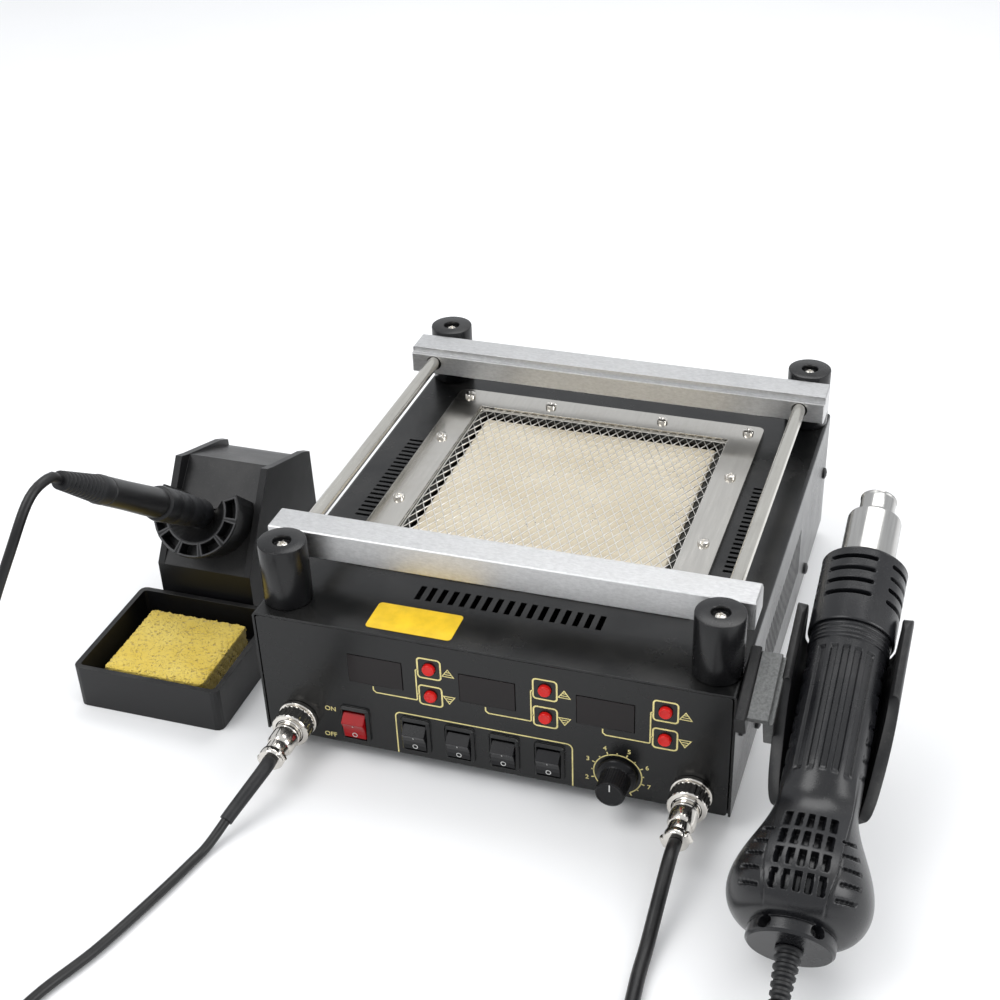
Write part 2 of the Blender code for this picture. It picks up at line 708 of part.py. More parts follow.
def grid_holes(corner, size):
    """Diamonds of the expanded mesh, in two offset sets, with half diamonds left closed."""
    step = Vector((size / GRID_COLS, size / GRID_ROWS))
    slope = sqrt((1 / step.x) ** 2 + (1 / step.y) ** 2)
    shrink = 1 - GRID_WIRE * slope
    reach = step / 2 * shrink
    holes = []
    for row in range(2 * GRID_ROWS - 1):
        shift = row % 2
        for col in range(GRID_COLS - shift):
            middle = corner + Vector((step.x * (col + 0.5 + shift / 2), step.y * (row + 1) / 2))
            holes.append([middle + Vector(offset) for offset in
                          ((reach.x, 0), (0, reach.y), (-reach.x, 0), (0, -reach.y))])
    return holes


def board_holder():
    post_low = CASE_TOP + FIT
    rod_ends = (POST_FRONT_Y - ROD_GRIP, POST_REAR_Y + ROD_GRIP)
    profile = [(0, POST_TOP - POST_SINK), (POST_SINK_R, POST_TOP - POST_SINK), (POST_SINK_R, POST_TOP),
               (POST_R - 0.0005, POST_TOP), (POST_R, POST_TOP - 0.0005), (POST_R, post_low),
               (0, post_low)]
    bar_x = POST_X + BAR_OVER
    for side, tag in ((-1, "left"), (1, "right")):
        x = side * POST_X
        bore = rod("rod_bore_" + tag, x, ROD_Z, rod_ends[0] - FIT, rod_ends[1] + FIT, ROD_R + FIT)
        for name, y in ((f"post_front_{tag}", POST_FRONT_Y), (f"post_rear_{tag}", POST_REAR_Y)):
            cut(turned(name, profile, ROUND_STEPS, black_plastic(), at(x, y, 0)), bore)
        rod("rod_" + tag, x, ROD_Z, *rod_ends, ROD_R, bright_metal())
    hole_z = ROD_Z - (BAR_HOLE_R - ROD_R - FIT)
    bar_top = ROD_Z + BAR_H / 2
    deep, down = BAR_REBATE
    front_y = POST_FRONT_Y + POST_R + FIT
    rear_y = POST_REAR_Y - POST_R - FIT - BAR_D
    for name, low_y, inner_y in (("bar_front", front_y, front_y + BAR_D), ("bar_rear", rear_y, rear_y)):
        bar = boxes(name, [((-bar_x, low_y, bar_top - BAR_H), (bar_x, low_y + BAR_D, bar_top))],
                    brushed_metal(), edge=BAR_CHAMFER)
        cut(bar, boxes(name + "_rebate", [((-2 * bar_x, inner_y - deep, bar_top - down),
                                           (2 * bar_x, inner_y + deep, 2 * bar_top))], cutter=True))
        for side in (-1, 1):
            cut(bar, rod(f"{name}_hole_{side}", side * POST_X, hole_z, low_y - BAR_D,
                         low_y + 2 * BAR_D, BAR_HOLE_R))


def rod(name, x, z, y0, y1, radius, material=None):
    """A round rod along Y. Without a material it only cuts."""
    length = y1 - y0
    profile = [(0, length), (radius, length), (radius, 0), (0, 0)]
    matrix = at(x, y0, z) @ Matrix.Rotation(-pi / 2, 4, "X")
    return turned(name, profile, ROUND_STEPS, material, matrix, material is None)


def bulb_profile():
    """The gun's shell from its collar at the guard down over the handle and fan bulb."""
    collar, groove = GUN_COLLAR_R, GUN_COLLAR_R - 0.0006
    top = [(0, GUN_SHELL_S), (groove, GUN_SHELL_S)]
    for k in range(3):
        s = GUN_COLLAR_S + 0.0062 - k * 0.0024
        top += [(collar, s + 0.0009), (groove, s + 0.0003), (groove, s - 0.0003), (collar, s - 0.0009)]
    top += [(collar, GUN_COLLAR_S), (GUN_HANDLE_R, GUN_COLLAR_S), (GUN_HANDLE_R, GUN_NECK_S + 0.004)]
    for t in np.linspace(0, 1, 9)[1:]:
        ease = t * t * (3 - 2 * t)
        top.append((GUN_HANDLE_R + (GUN_BULB_R - GUN_HANDLE_R) * ease,
                    GUN_NECK_S + (GUN_BULB_S - GUN_NECK_S) * t))
    waist = (GUN_END_R + 0.0006, 0.0075)
    for a in np.linspace(0, pi / 2, 6)[1:]:
        top.append((waist[0] + (GUN_BULB_R - waist[0]) * cos(a),
                    GUN_BULB_S - (GUN_BULB_S - waist[1]) * sin(a)))
    top += [(GUN_END_R + 0.0012, 0.0060), (GUN_END_R + 0.0012, 0.0012), (GUN_END_R, 0), (0, 0)]
    return top


def hot_air_gun():
    frame = gun_frame()
    shell = turned("gun_shell", bulb_profile(), ROUND_STEPS, black_plastic(), frame)
    top = -GUN_HANDLE_R - 0.01
    grooves = []
    for k in range(5):
        x = (k - 2) * 0.0055
        depth = sqrt(GUN_HANDLE_R ** 2 - x * x) - 0.0010
        grooves.append(((x - 0.0009, top, GUN_NECK_S + 0.010), (x + 0.0009, -depth, 0.1440)))
    cut(shell, boxes("handle_grooves", grooves, None, frame, True))
    vents = []
    for row in range(4):
        for col in range(5):
            x = (col - 2) * 0.0052
            s = 0.0150 + row * 0.0108
            vents.append(((x - 0.0012, -0.040, s), (x + 0.0012, -0.0150, s + 0.0078)))
    cut(shell, boxes("bulb_vents", vents, None, frame, True))
    cut(shell, boxes("side_louvres", side_louvres(), None, frame, True))
    for side in (-1, 1):
        well = [(0, 0.03), (GUN_WELL_R, 0.03), (GUN_WELL_R, GUN_WELL_FLOOR), (0, GUN_WELL_FLOOR)]
        upward = frame @ at(side * GUN_WELL_X, 0, GUN_WELL_S) @ Matrix.Rotation(pi / 2, 4, "X")
        cut(shell, turned(f"screw_well_{side}", well, SMALL_STEPS, None, upward, True))
    guard_low = GUN_SHELL_S + FIT
    r, wall = GUN_GUARD_R, GUN_GUARD_WALL
    profile = [(GUN_TUBE_R + 0.0005, GUN_GUARD_S), (r - 0.0008, GUN_GUARD_S), (r, GUN_GUARD_S - 0.0008),
               (r, guard_low), (r - wall, guard_low), (r - wall, GUN_GUARD_S - wall),
               (GUN_TUBE_R + 0.0005, GUN_GUARD_S - wall), (GUN_TUBE_R + 0.0005, GUN_GUARD_S)]
    guard = turned("gun_guard", profile, ROUND_STEPS, black_plastic(), frame)
    for k, s in enumerate(GUN_SLOT_S):
        cut(guard, slab(f"guard_slots_{k}", guard_sectors(), GUN_SLOT_H, None, frame @ at(0, 0, s), True))
    bore_low = GUN_TIP_S - GUN_BORE_DEPTH
    nozzle = [(0, bore_low), (GUN_BORE_R, bore_low), (GUN_BORE_R, GUN_TIP_S), (GUN_TIP_R, GUN_TIP_S),
              (GUN_TIP_R, GUN_TIP_S - 0.0145), (GUN_TUBE_R - 0.0012, GUN_TUBE_S + 0.0025),
              (GUN_TUBE_R, GUN_TUBE_S), (GUN_TUBE_R, guard_low), (0, guard_low)]
    turned("gun_nozzle", nozzle, ROUND_STEPS, bright_metal(), frame)
    ribbed_relief("gun_relief", frame, -FIT, -GUN_RELIEF_L, GUN_RELIEF_R + 0.0012, GUN_RELIEF_R - 0.0006,
                  GUN_RIBS)


def side_louvres():
    """Slits across the handle's sides and gills beside the bulb's vents, as boxes."""
    slits = []
    for side in (-1, 1):
        for k in range(GUN_LOUVRES):
            s = GUN_LOUVRE_S + k * GUN_LOUVRE_PITCH
            slits.append(((side * GUN_LOUVRE_FLOOR, -0.0075, s), (side * 0.030, 0.0035, s + GUN_SLIT_W)))
        for k in range(GUN_GILLS):
            s = GUN_GILL_S + k * GUN_GILL_PITCH
            slits.append(((side * 0.0165, -0.040, s), (side * 0.0215, -GUN_GILL_FLOOR, s + GUN_SLIT_W)))
    return [(tuple(map(min, a, b)), tuple(map(max, a, b))) for a, b in slits]


def guard_sectors():
    """Curved slots round the guard, with ribs left between them."""
    inner, outer = GUN_GUARD_R - 2 * GUN_GUARD_WALL, GUN_GUARD_R + 0.002
    pitch = 2 * pi / GUN_SLOT_SECTORS
    half = (pitch - GUN_SLOT_RIB) / 2
    middles = [-pi / 2 + (k + 0.5) * pitch for k in range(GUN_SLOT_SECTORS)]
    return [arc((0, 0), outer, m - half, m + half, 3) + arc((0, 0), inner, m + half, m - half, 3)
            for m in middles]


def ribbed_relief(name, frame, near, far, near_r, far_r, ribs):
    """A tapered strain relief with rings, from near to far along local Z."""
    points = []
    step = (far - near) / ribs
    for k in range(ribs):
        for share, drop in ((0.05, 0), (0.60, 0), (0.70, 0.0011), (0.95, 0.0011)):
            t = (k + share) / ribs
            points.append((near_r + (far_r - near_r) * t - drop, near + step * (k + share)))
    points = [(0, near), (near_r, near), *points[1:], (points[-1][0], far), (0, far)]
    if far > near:
        points = points[::-1]
    return turned(name, points, SMALL_STEPS, rubber(), frame)


def cradle():
    """A trough parallel to the gun, open at the top, with round-ended arms."""
    frame = gun_frame()
    rise = CRADLE_R - GUN_HANDLE_R - FIT
    outer = CRADLE_R + CRADLE_WALL
    middle = CRADLE_R + CRADLE_WALL / 2
    end = GUN_COLLAR_S - FIT
    length = end - CRADLE_S
    right, left = -CRADLE_ARM, pi + CRADLE_ARM
    centre = (0, -rise)
    tip_right = (middle * cos(right), middle * sin(right) - rise)
    tip_left = (middle * cos(left), middle * sin(left) - rise)
    outline = (arc(centre, outer, right, left, 21)
               + arc(tip_left, CRADLE_WALL / 2, left, left + pi, 6)[1:-1]
               + arc(centre, CRADLE_R, left, right, 21)
               + arc(tip_right, CRADLE_WALL / 2, right + pi, right + 2 * pi, 6)[1:-1])
    trough = slab("cradle", [outline], length, black_plastic(), frame @ at(0, 0, CRADLE_S + length / 2))
    arm_top = -rise - middle * sin(CRADLE_ARM) - CRADLE_WALL
    tilt = frame @ at(0, arm_top, end - 0.014) @ Matrix.Rotation(-CRADLE_CUT, 4, "X")
    cut(trough, boxes("cradle_slope", [((-0.05, -0.05, -0.12), (0.05, 0.0045, 0))], None, tilt, True))
    wall_x = CASE_W / 2 + FIT - GUN_TAIL.x
    bracket = boxes("cradle_bracket", [((wall_x, -BRACKET_RISE, BRACKET_S[0]),
                                        (-0.012, BRACKET_DROP + 0.003, BRACKET_S[1]))], black_plastic(),
                    frame, edge=0.0008)
    clear = outer + FIT
    profile = [(0, 0.3), (clear, 0.3), (clear, -0.3), (0, -0.3)]
    cut(bracket, turned("cradle_clear", profile, 2 * ROUND_STEPS, None, frame @ at(0, -rise, 0), True))


def stand():
    """Moulded stand: two ears carry a sloped plate, open underneath."""
    half = STAND_W / 2
    slope = STAND_SLOPE
    front, step = STAND_FRONT_Y, STAND_STEP_Z
    ear = [(front, 0), (STAND_BACK_Y, 0), (STAND_BACK_Y - 0.002, 0.074), STAND_BACK_TOP,
           (STAND_PEAK[0] + 0.008, STAND_PEAK[1] - 0.003), STAND_PEAK, (front, step)]
    plate_top = (STAND_PLATE_TOP_Y, step + (STAND_PLATE_TOP_Y - front) * tan(slope))
    back_low = (STAND_BACK_TOP[0], STAND_BACK_TOP[1] - 0.004)
    spine = [(front, 0), (front, step), plate_top, back_low,
             (STAND_BACK_Y - 0.002, 0.070), (STAND_BACK_Y, 0)]
    wall = STAND_PLATE_T
    inside = inset_path(spine, wall)
    body = slab("stand_body", [spine + inside[::-1]], STAND_W, black_plastic(), across(STAND_X))
    ears = [slab(f"stand_ear_{side}", [ear], STAND_EAR, None,
                 across(STAND_X + side * (half - STAND_EAR / 2)), True) for side in (-1, 1)]
    join(body, *ears)
    bore = [(0, 0.05), (BARREL_R + 0.0015, 0.05), (BARREL_R + 0.0015, -0.06), (0, -0.06)]
    cut(body, turned("stand_bore", bore, SMALL_STEPS, None, iron_frame(), True))


def inset_path(path, wall):
    """The inner side of a wall that follows an open path, its ends level with the path's."""
    points = [Vector(p) for p in path]
    inner = []
    for k, point in enumerate(points):
        before = points[k] - points[k - 1] if k else points[1] - points[0]
        after = points[k + 1] - points[k] if k < len(points) - 1 else before
        n1 = Vector((before.y, -before.x)).normalized()
        n2 = Vector((after.y, -after.x)).normalized()
        turn = (n1 + n2).normalized()
        inner.append(point + turn * (wall / max(turn.dot(n1), 0.3)))
    inner[0].y, inner[-1].y = points[0].y, points[-1].y
    return [tuple(point) for point in inner]


def funnel():
    """A ring of pockets round a cone that takes the iron, open at the top."""
    frame = iron_frame()
    back, neck_r = FUNNEL_BACK_S, FUNNEL_NECK_R
    seat_r = GRIP_R + FIT
    profile = [(neck_r, FUNNEL_NECK_S), (seat_r, FUNNEL_SEAT_S - FIT), (FUNNEL_MOUTH_R, 0),
               (FUNNEL_R - 0.0006, 0), (FUNNEL_R, -0.0006), (FUNNEL_R - 0.003, back), (neck_r, back),
               (neck_r, FUNNEL_NECK_S)]
    ring = turned("funnel", profile, 36, black_plastic(), frame)
    inner = FUNNEL_MOUTH_R + FUNNEL_POCKET_WALL
    outer = FUNNEL_R - FUNNEL_POCKET_WALL
    span = 2 * pi - 2 * FUNNEL_OPEN
    pitch = span / FUNNEL_POCKETS
    half = pitch / 2 - radians(4)
    start = pi / 2 + FUNNEL_OPEN
    outlines = []
    for k in range(FUNNEL_POCKETS):
        middle = start + (k + 0.5) * pitch
        outlines.append(arc((0, 0), outer, middle - half, middle + half, 5)
                        + arc((0, 0), inner, middle + half, middle - half, 4))
    deep = 2 * FUNNEL_POCKET_DEPTH
    cut(ring, slab("funnel_pockets", outlines, deep, None, frame, True))
    far = 0.08
    wedge = [(0, 0), (far * sin(FUNNEL_OPEN), far * cos(FUNNEL_OPEN)),
             (-far * sin(FUNNEL_OPEN), far * cos(FUNNEL_OPEN))]
    cut(ring, slab("funnel_gap", [wedge], 0.2, None, frame, True))
    on_plate = at(STAND_X, STAND_FRONT_Y, STAND_STEP_Z) @ Matrix.Rotation(STAND_SLOPE, 4, "X")
    cut(ring, boxes("funnel_seat", [((-0.1, -0.1, -0.1), (0.1, 0.1, FIT))], None, on_plate, True))


def iron():
    frame = iron_frame()
    mouth, top = GRIP_S
    barrel = [(0, mouth - FIT), (BARREL_R, mouth - FIT), (BARREL_R, BARREL_S), (0.0022, BARREL_S - 0.0015),
              (0.0003, IRON_TIP_S), (0, IRON_TIP_S)]
    turned("iron_barrel", barrel, SMALL_STEPS, bright_metal(), frame)
    grip = [(0, top), (GRIP_R - 0.0012, top)]
    rings = 3
    for k in range(rings):
        s = top - 0.004 - k * (top - mouth - 0.012) / rings
        grip += [(GRIP_R, s), (GRIP_R, s - 0.0036), (GRIP_R - 0.0007, s - 0.0042)]
    grip += [(GRIP_R - 0.0004, mouth + 0.002), (GRIP_R - 0.002, mouth), (0, mouth)]
    turned("iron_grip", grip, ROUND_STEPS, rubber(), frame)
    low_r, high_r = HANDLE_R
    handle_low = top + FIT
    handle = [(0, HANDLE_S), (high_r, HANDLE_S), (high_r + 0.0003, HANDLE_S - 0.004),
              (low_r - 0.0006, handle_low + 0.020), (low_r, handle_low + 0.006),
              (low_r - 0.0008, handle_low), (0, handle_low)]
    turned("iron_handle", handle, ROUND_STEPS, black_plastic(), frame)
    ribbed_relief("iron_relief", frame, HANDLE_S + FIT, IRON_RELIEF_S, *IRON_RELIEF_R, 5)


def sponge_tray():
    (x0, x1), (y0, y1) = WELL_X, WELL_Y
    tray = slab("sponge_tray", [rounded((x0, y0), (x1, y1), WELL_CORNER)], WELL_H, black_plastic(),
                at(0, 0, WELL_H / 2))
    inner = rounded((x0 + WELL_WALL, y0 + WELL_WALL), (x1 - WELL_WALL, y1 - WELL_WALL), 0.002)
    join(tray, boxes("tray_tab", [((STAND_X - STAND_W / 2 + 0.004, y1 - WELL_WALL, 0),
                                   (STAND_X + STAND_W / 2 - 0.004, STAND_FRONT_Y - FIT, WELL_TAB_H))],
                     cutter=True))
    cut(tray, slab("tray_well", [inner], WELL_H, None, at(0, 0, WELL_H / 2 + WELL_WALL), True))
    x, y = SPONGE_AT
    w, d, h = SPONGE
    low = WELL_WALL + FIT
    yellow = finish("sponge_yellow", (0.80, 0.62, 0.16), 0.9)
    boxes("sponge", [((x - w / 2, y - d / 2, low), (x + w / 2, y + d / 2, low + h))], yellow)


def smooth_route(points, spacing):
    """Points at even distances along a smooth curve through the route's own points."""
    route = [Vector(p) for p in points]
    ends = [2 * route[0] - route[1], *route, 2 * route[-1] - route[-2]]
    dense = []
    for k in range(1, len(ends) - 2):
        p0, p1, p2, p3 = ends[k - 1:k + 3]
        for t in np.linspace(0, 1, 24, endpoint=False):
            dense.append(0.5 * ((2 * p1) + (p2 - p0) * t + (2 * p0 - 5 * p1 + 4 * p2 - p3) * t ** 2
                                + (3 * p1 - p0 - 3 * p2 + p3) * t ** 3))
    dense.append(route[-1])
    run = np.concatenate([[0], np.cumsum([(b - a).length for a, b in zip(dense, dense[1:])])])
    count = max(3, ceil(run[-1] / spacing) + 1)
    places = np.linspace(0, run[-1], count)
    return [Vector([np.interp(s, run, [p[axis] for p in dense]) for axis in range(3)]) for s in places]


def cord_tube(name, points, radius):
    """A cord along its route, lying on the ground where it would dip below it."""
    curve = bpy.data.curves.new(name, "CURVE")
    curve.dimensions = "3D"
    curve.bevel_depth = radius
    curve.bevel_resolution = 2
    curve.use_fill_caps = True
    spline = curve.splines.new("POLY")
    path = smooth_route(points, 5 * radius)
    start, end = Vector(points[0]), Vector(points[-1])
    path.insert(1, start + (Vector(points[1]) - start).normalized() * radius)
    path.insert(-1, end + (Vector(points[-2]) - end).normalized() * radius)
    spline.points.add(len(path) - 1)
    for point, (x, y, z) in zip(spline.points, path):
        point.co = (x, y, max(z, radius + FIT), 1.0)
    return baked(curve, name, rubber())


def coil(name, centre, radius, thick):
    inner, outer = radius - thick / 2, radius + thick / 2
    profile = [(inner, thick), (outer, thick), (outer, 0), (inner, 0), (inner, thick)]
    return turned(name, profile, ROUND_STEPS, rubber(), at(*centre, 0))


def coil_entry(centre, radius, thick, side, cord_r):
    """The last two points of a cord that runs along -Y into the outer side of its coil."""
    x = centre[0] + side * radius
    reach = sqrt((radius + thick / 2) ** 2 - (radius - cord_r) ** 2)
    end = centre[1] + reach + FIT
    return [(x, end + 4 * cord_r, cord_r + FIT), (x, end, cord_r + FIT)]


def cords():
    gun_end = gun_frame() @ Vector((0, 0, -GUN_RELIEF_L - FIT))
    gun_straight = gun_frame() @ Vector((0, 0, -GUN_RELIEF_L - 0.010))
    x, y, z = gun_end
    r = GUN_CORD_R
    floor = r + FIT
    gun_coil = (GUN_COIL_AT, GUN_COIL_R, GUN_COIL_T)
    cord_tube("gun_cord", [gun_end, gun_straight, (x + 0.002, y - 0.022, z - 0.0090),
                           (x + 0.007, -0.157, 0.0075), (x + 0.022, -0.168, floor),
                           (x + 0.042, -0.174, floor),
                           *coil_entry(*gun_coil, 1, r)], r)
    cord_tube("gun_cord_end", [(SOCKET_X, -PLUG_OUT - FIT, SOCKET_Z), (SOCKET_X, -0.048, SOCKET_Z),
                               (SOCKET_X, -0.070, SOCKET_Z - 0.007), (SOCKET_X, -0.090, 0.0060),
                               (SOCKET_X + 0.0005, -0.112, floor), (SOCKET_X + 0.0045, -0.140, floor),
                               (SOCKET_X + 0.0205, -0.166, floor),
                               *coil_entry(*gun_coil, -1, r)], r)
    coil("gun_cord_coil", *gun_coil)
    iron_end = iron_frame() @ Vector((0, 0, IRON_RELIEF_S + FIT))
    iron_straight = iron_frame() @ Vector((0, 0, IRON_RELIEF_S + 0.009))
    x, y, z = iron_end
    r = IRON_CORD_R
    floor = r + FIT
    iron_coil = (IRON_COIL_AT, IRON_COIL_R, IRON_COIL_T)
    cord_tube("iron_cord", [iron_end, iron_straight, (x - 0.002, y - 0.022, z + 0.003),
                            (x - 0.006, y - 0.038, z - 0.016), (x - 0.018, y - 0.052, z - 0.052),
                            (x - 0.032, y - 0.064, z - 0.100), (x - 0.042, y - 0.078, 0.028),
                            (x - 0.045, y - 0.098, 0.0075), (x - 0.044, y - 0.125, floor),
                            (x - 0.034, y - 0.160, floor), (x - 0.020, y - 0.186, floor),
                            *coil_entry(*iron_coil, -1, r)], r)
    cord_tube("iron_cord_end", [(-SOCKET_X, -PLUG_OUT - FIT, SOCKET_Z), (-SOCKET_X, -0.044, SOCKET_Z),
                                (-SOCKET_X - 0.0075, -0.068, 0.0105), (-SOCKET_X - 0.0135, -0.090, floor),
                                (-SOCKET_X - 0.0205, -0.120, floor), (-SOCKET_X - 0.0315, -0.160, floor),
                                (-SOCKET_X - 0.0445, -0.195, floor),
                                *coil_entry(*iron_coil, 1, r)], r)
    coil("iron_cord_coil", *iron_coil)


def stand_on_origin():
    """Move everything so that the bare object's box stands centred on the origin."""
    bpy.context.view_layer.update()
    graph = bpy.context.evaluated_depsgraph_get()
    loose = ("gun_cord", "iron_cord", "plug_")
    corners = []
    for obj in PARTS.objects:
        if not obj.name.startswith(loose):
            mesh = obj.evaluated_get(graph).data
            corners += [obj.matrix_world @ vertex.co for vertex in mesh.vertices]
    low = Vector([min(c[k] for c in corners) for k in range(3)])
    high = Vector([max(c[k] for c in corners) for k in range(3)])
    shift = Matrix.Translation(Vector((-(low.x + high.x) / 2, -(low.y + high.y) / 2, -low.z)))
    for obj in [*PARTS.objects, *TOOLS.objects]:
        obj.matrix_world = shift @ obj.matrix_world


clear_scene()
PARTS = collection("bga_rework_station")
TOOLS = collection("cutters")
base_pan()
top_cover()
feet()
front_panel()
rockers()
displays()
buttons()
knob()
sockets()
mains_inlet()
heater()
board_holder()
hot_air_gun()
cradle()
stand()
funnel()
iron()
sponge_tray()
cords()
stand_on_origin()
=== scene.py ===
"""Looks of a BGA rework station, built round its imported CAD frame.

Lengths are metres in the frame's axes: +X runs across the front panel to the hot-air gun,
+Y from the front panel to the back, +Z up. A shape is a pair of arrays, points and faces.
"""
from math import ceil, cos, pi, radians, sin, sqrt

import bmesh
import bpy
import numpy as np
from bpy.props import FloatProperty, FloatVectorProperty, IntProperty, PointerProperty
from mathutils import Matrix, Vector


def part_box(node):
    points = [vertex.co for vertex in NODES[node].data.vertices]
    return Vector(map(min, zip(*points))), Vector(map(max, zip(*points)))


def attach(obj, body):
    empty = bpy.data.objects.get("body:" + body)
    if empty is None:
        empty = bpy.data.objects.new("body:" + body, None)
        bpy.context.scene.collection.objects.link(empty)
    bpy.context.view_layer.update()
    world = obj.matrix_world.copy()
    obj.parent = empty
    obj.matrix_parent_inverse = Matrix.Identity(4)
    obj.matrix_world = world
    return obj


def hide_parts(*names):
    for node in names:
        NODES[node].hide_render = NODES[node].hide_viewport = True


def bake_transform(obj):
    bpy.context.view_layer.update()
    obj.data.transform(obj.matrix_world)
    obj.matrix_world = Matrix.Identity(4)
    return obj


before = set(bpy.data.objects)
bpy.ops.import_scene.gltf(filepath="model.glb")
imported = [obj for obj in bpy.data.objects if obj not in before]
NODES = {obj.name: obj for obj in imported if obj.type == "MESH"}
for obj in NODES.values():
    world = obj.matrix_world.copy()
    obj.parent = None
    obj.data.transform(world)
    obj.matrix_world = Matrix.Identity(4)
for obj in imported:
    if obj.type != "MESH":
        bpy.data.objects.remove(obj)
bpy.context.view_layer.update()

bl_info = {"name": "Rework station", "version": (1, 0, 0), "blender": (4, 5, 0),
           "location": "3D Viewport > Sidebar > Rework station",
           "description": "Builds the pieces, finishes and stage of a bench rework station",
           "category": "Object"}

# Places taken from the frame
COVER_LOW, COVER_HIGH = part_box("top_cover")
CASE_X = (COVER_LOW.x + COVER_HIGH.x) / 2
CASE_FRONT = COVER_LOW.y
CASE_FOOT = COVER_LOW.z
CASE_TOP = COVER_HIGH.z
SIDE_X = (COVER_HIGH.x - COVER_LOW.x) / 2

# Gun and iron axes, as the CAD holds them
GUN_TAIL = Vector((CASE_X + 0.170, CASE_FRONT - 0.0977, 0.0315))
GUN_TILT = radians(22)
IRON_AT = Vector((CASE_X - 0.199, CASE_FRONT + 0.0815, 0.081))
IRON_RISE = radians(38)

# Camera fitted to the photograph, whose frame is 1000 pixels square
CAMERA_AT = (CASE_X + 0.2199, CASE_FRONT - 0.5840, 0.5657)
CAMERA_YAW = radians(-18.06)
CAMERA_DOWN = radians(34.31)
CAMERA_ROLL = radians(-1.4)
PHOTO_SIZE = 1000
FOCAL_PIXELS = 1614.9
PHOTO_CENTRE = (539.7, 556.4)
SENSOR_MM = 36

# Round controls and connectors on the panel, from its middle and its lower edge
BUTTON_XS = (-0.0300, 0.0304, 0.0910)
BUTTON_ZS = (0.0597, 0.0425)
ROCKER_XS = (-0.073, -0.0395, -0.0156, 0.0083, 0.0322)
ROCKER_NAMES = ("rocker_power", "rocker_iron", "rocker_air", "rocker_heater", "rocker_fan")
ROCKER_Z = 0.0149
KNOB_AT = (0.0675, 0.0142)
SOCKET_X = 0.1055
SOCKET_Z = 0.012
PLUG_REACH = 0.0373
BUTTON_FRAME = 0.0061
DIAL_LINE = 0.0124
DIAL_STEP = radians(43.2)
ROCKER_TILT = radians(16)
ROCKER_LEAN = radians(13)
GAP = 0.0003


def case_point(x, y, z):
    """A point given from the middle of the panel's lower edge."""
    return Vector((CASE_X + x, CASE_FRONT + y, CASE_FOOT + z))


def gun_frame():
    """Local Z runs up the gun to its nozzle, local -Y points up out of the cradle."""
    return Matrix.Translation(GUN_TAIL) @ Matrix.Rotation(GUN_TILT - pi / 2, 4, "X")


def iron_frame():
    """Local Z runs up the iron to its cord, local +Y points up."""
    return Matrix.Translation(IRON_AT) @ Matrix.Rotation(pi / 2 - IRON_RISE, 4, "X")


def facing_front(x, z, y=0.0):
    """Local Z points out of the panel, local Y stays up and local X runs across it."""
    return Matrix.Translation(case_point(x, y, z)) @ Matrix.Rotation(pi / 2, 4, "X")


# Settings that a user would change
class StationSizes(bpy.types.PropertyGroup):
    print_line: FloatProperty(name="Print line", description="Width of the panel's printed lines",
                              default=0.0009, unit="LENGTH")
    mesh_wire: FloatProperty(name="Guard wire", description="Width of the expanded metal's strands",
                             default=0.00050, unit="LENGTH")
    mesh_long: FloatProperty(name="Guard mesh length", description="Long way of one mesh opening",
                             default=0.0109, unit="LENGTH")
    mesh_short: FloatProperty(name="Guard mesh width", description="Short way of one mesh opening",
                              default=0.0054, unit="LENGTH")
    gun_cord: FloatProperty(name="Gun cord", description="Diameter of the hot-air gun's cord",
                            default=0.007, unit="LENGTH")
    iron_cord: FloatProperty(name="Iron cord", description="Diameter of the soldering iron's cord",
                             default=0.005, unit="LENGTH")
    turned_steps: IntProperty(name="Turned steps", description="Sides of each turned piece",
                              default=64, min=12)


class StationColours(bpy.types.PropertyGroup):
    case: FloatVectorProperty(name="Case paint", description="Powder coat on the case", size=3,
                              default=(0.0042, 0.0044, 0.0046), subtype="COLOR")
    moulding: FloatVectorProperty(name="Mouldings", description="Black moulded plastic", size=3,
                                  default=(0.0060, 0.0060, 0.0066), subtype="COLOR")
    gun: FloatVectorProperty(name="Gun plastic", description="Charcoal plastic of the gun", size=3,
                             default=(0.0075, 0.0077, 0.0090), subtype="COLOR")
    print_ink: FloatVectorProperty(name="Panel print", description="Ink of the panel's lines", size=3,
                                   default=(0.80, 0.70, 0.30), subtype="COLOR")
    plate: FloatVectorProperty(name="Blank plate", description="Plate on the cover", size=3,
                               default=(0.80, 0.52, 0.02), subtype="COLOR")
    tile: FloatVectorProperty(name="Heater tile", description="Glazed cream of the heater", size=3,
                              default=(0.60, 0.53, 0.40), subtype="COLOR")
    sponge: FloatVectorProperty(name="Sponge", description="Cellulose sponge", size=3,
                                default=(0.64, 0.45, 0.045), subtype="COLOR")
    button: FloatVectorProperty(name="Buttons", description="Red push buttons", size=3,
                                default=(0.62, 0.012, 0.010), subtype="COLOR")
    floor: FloatVectorProperty(name="Floor", description="Pale floor under the station", size=3,
                               default=(0.86, 0.86, 0.86), subtype="COLOR")


def sizes():
    return bpy.context.scene.station_sizes


def colours():
    return bpy.context.scene.station_colours


# Shapes: arrays of points and lists of faces
def woven(points, wrap_rows=False, wrap_columns=False):
    """Quads between the neighbours of a (rows, columns, 3) grid, closed round where asked."""
    rows, columns = points.shape[:2]
    index = np.arange(rows * columns).reshape(rows, columns)
    if wrap_rows:
        index = np.vstack([index, index[:1]])
    if wrap_columns:
        index = np.hstack([index, index[:, :1]])
    quads = np.stack([index[:-1, :-1], index[:-1, 1:], index[1:, 1:], index[1:, :-1]], -1)
    return points.reshape(-1, 3), quads.reshape(-1, 4).tolist()


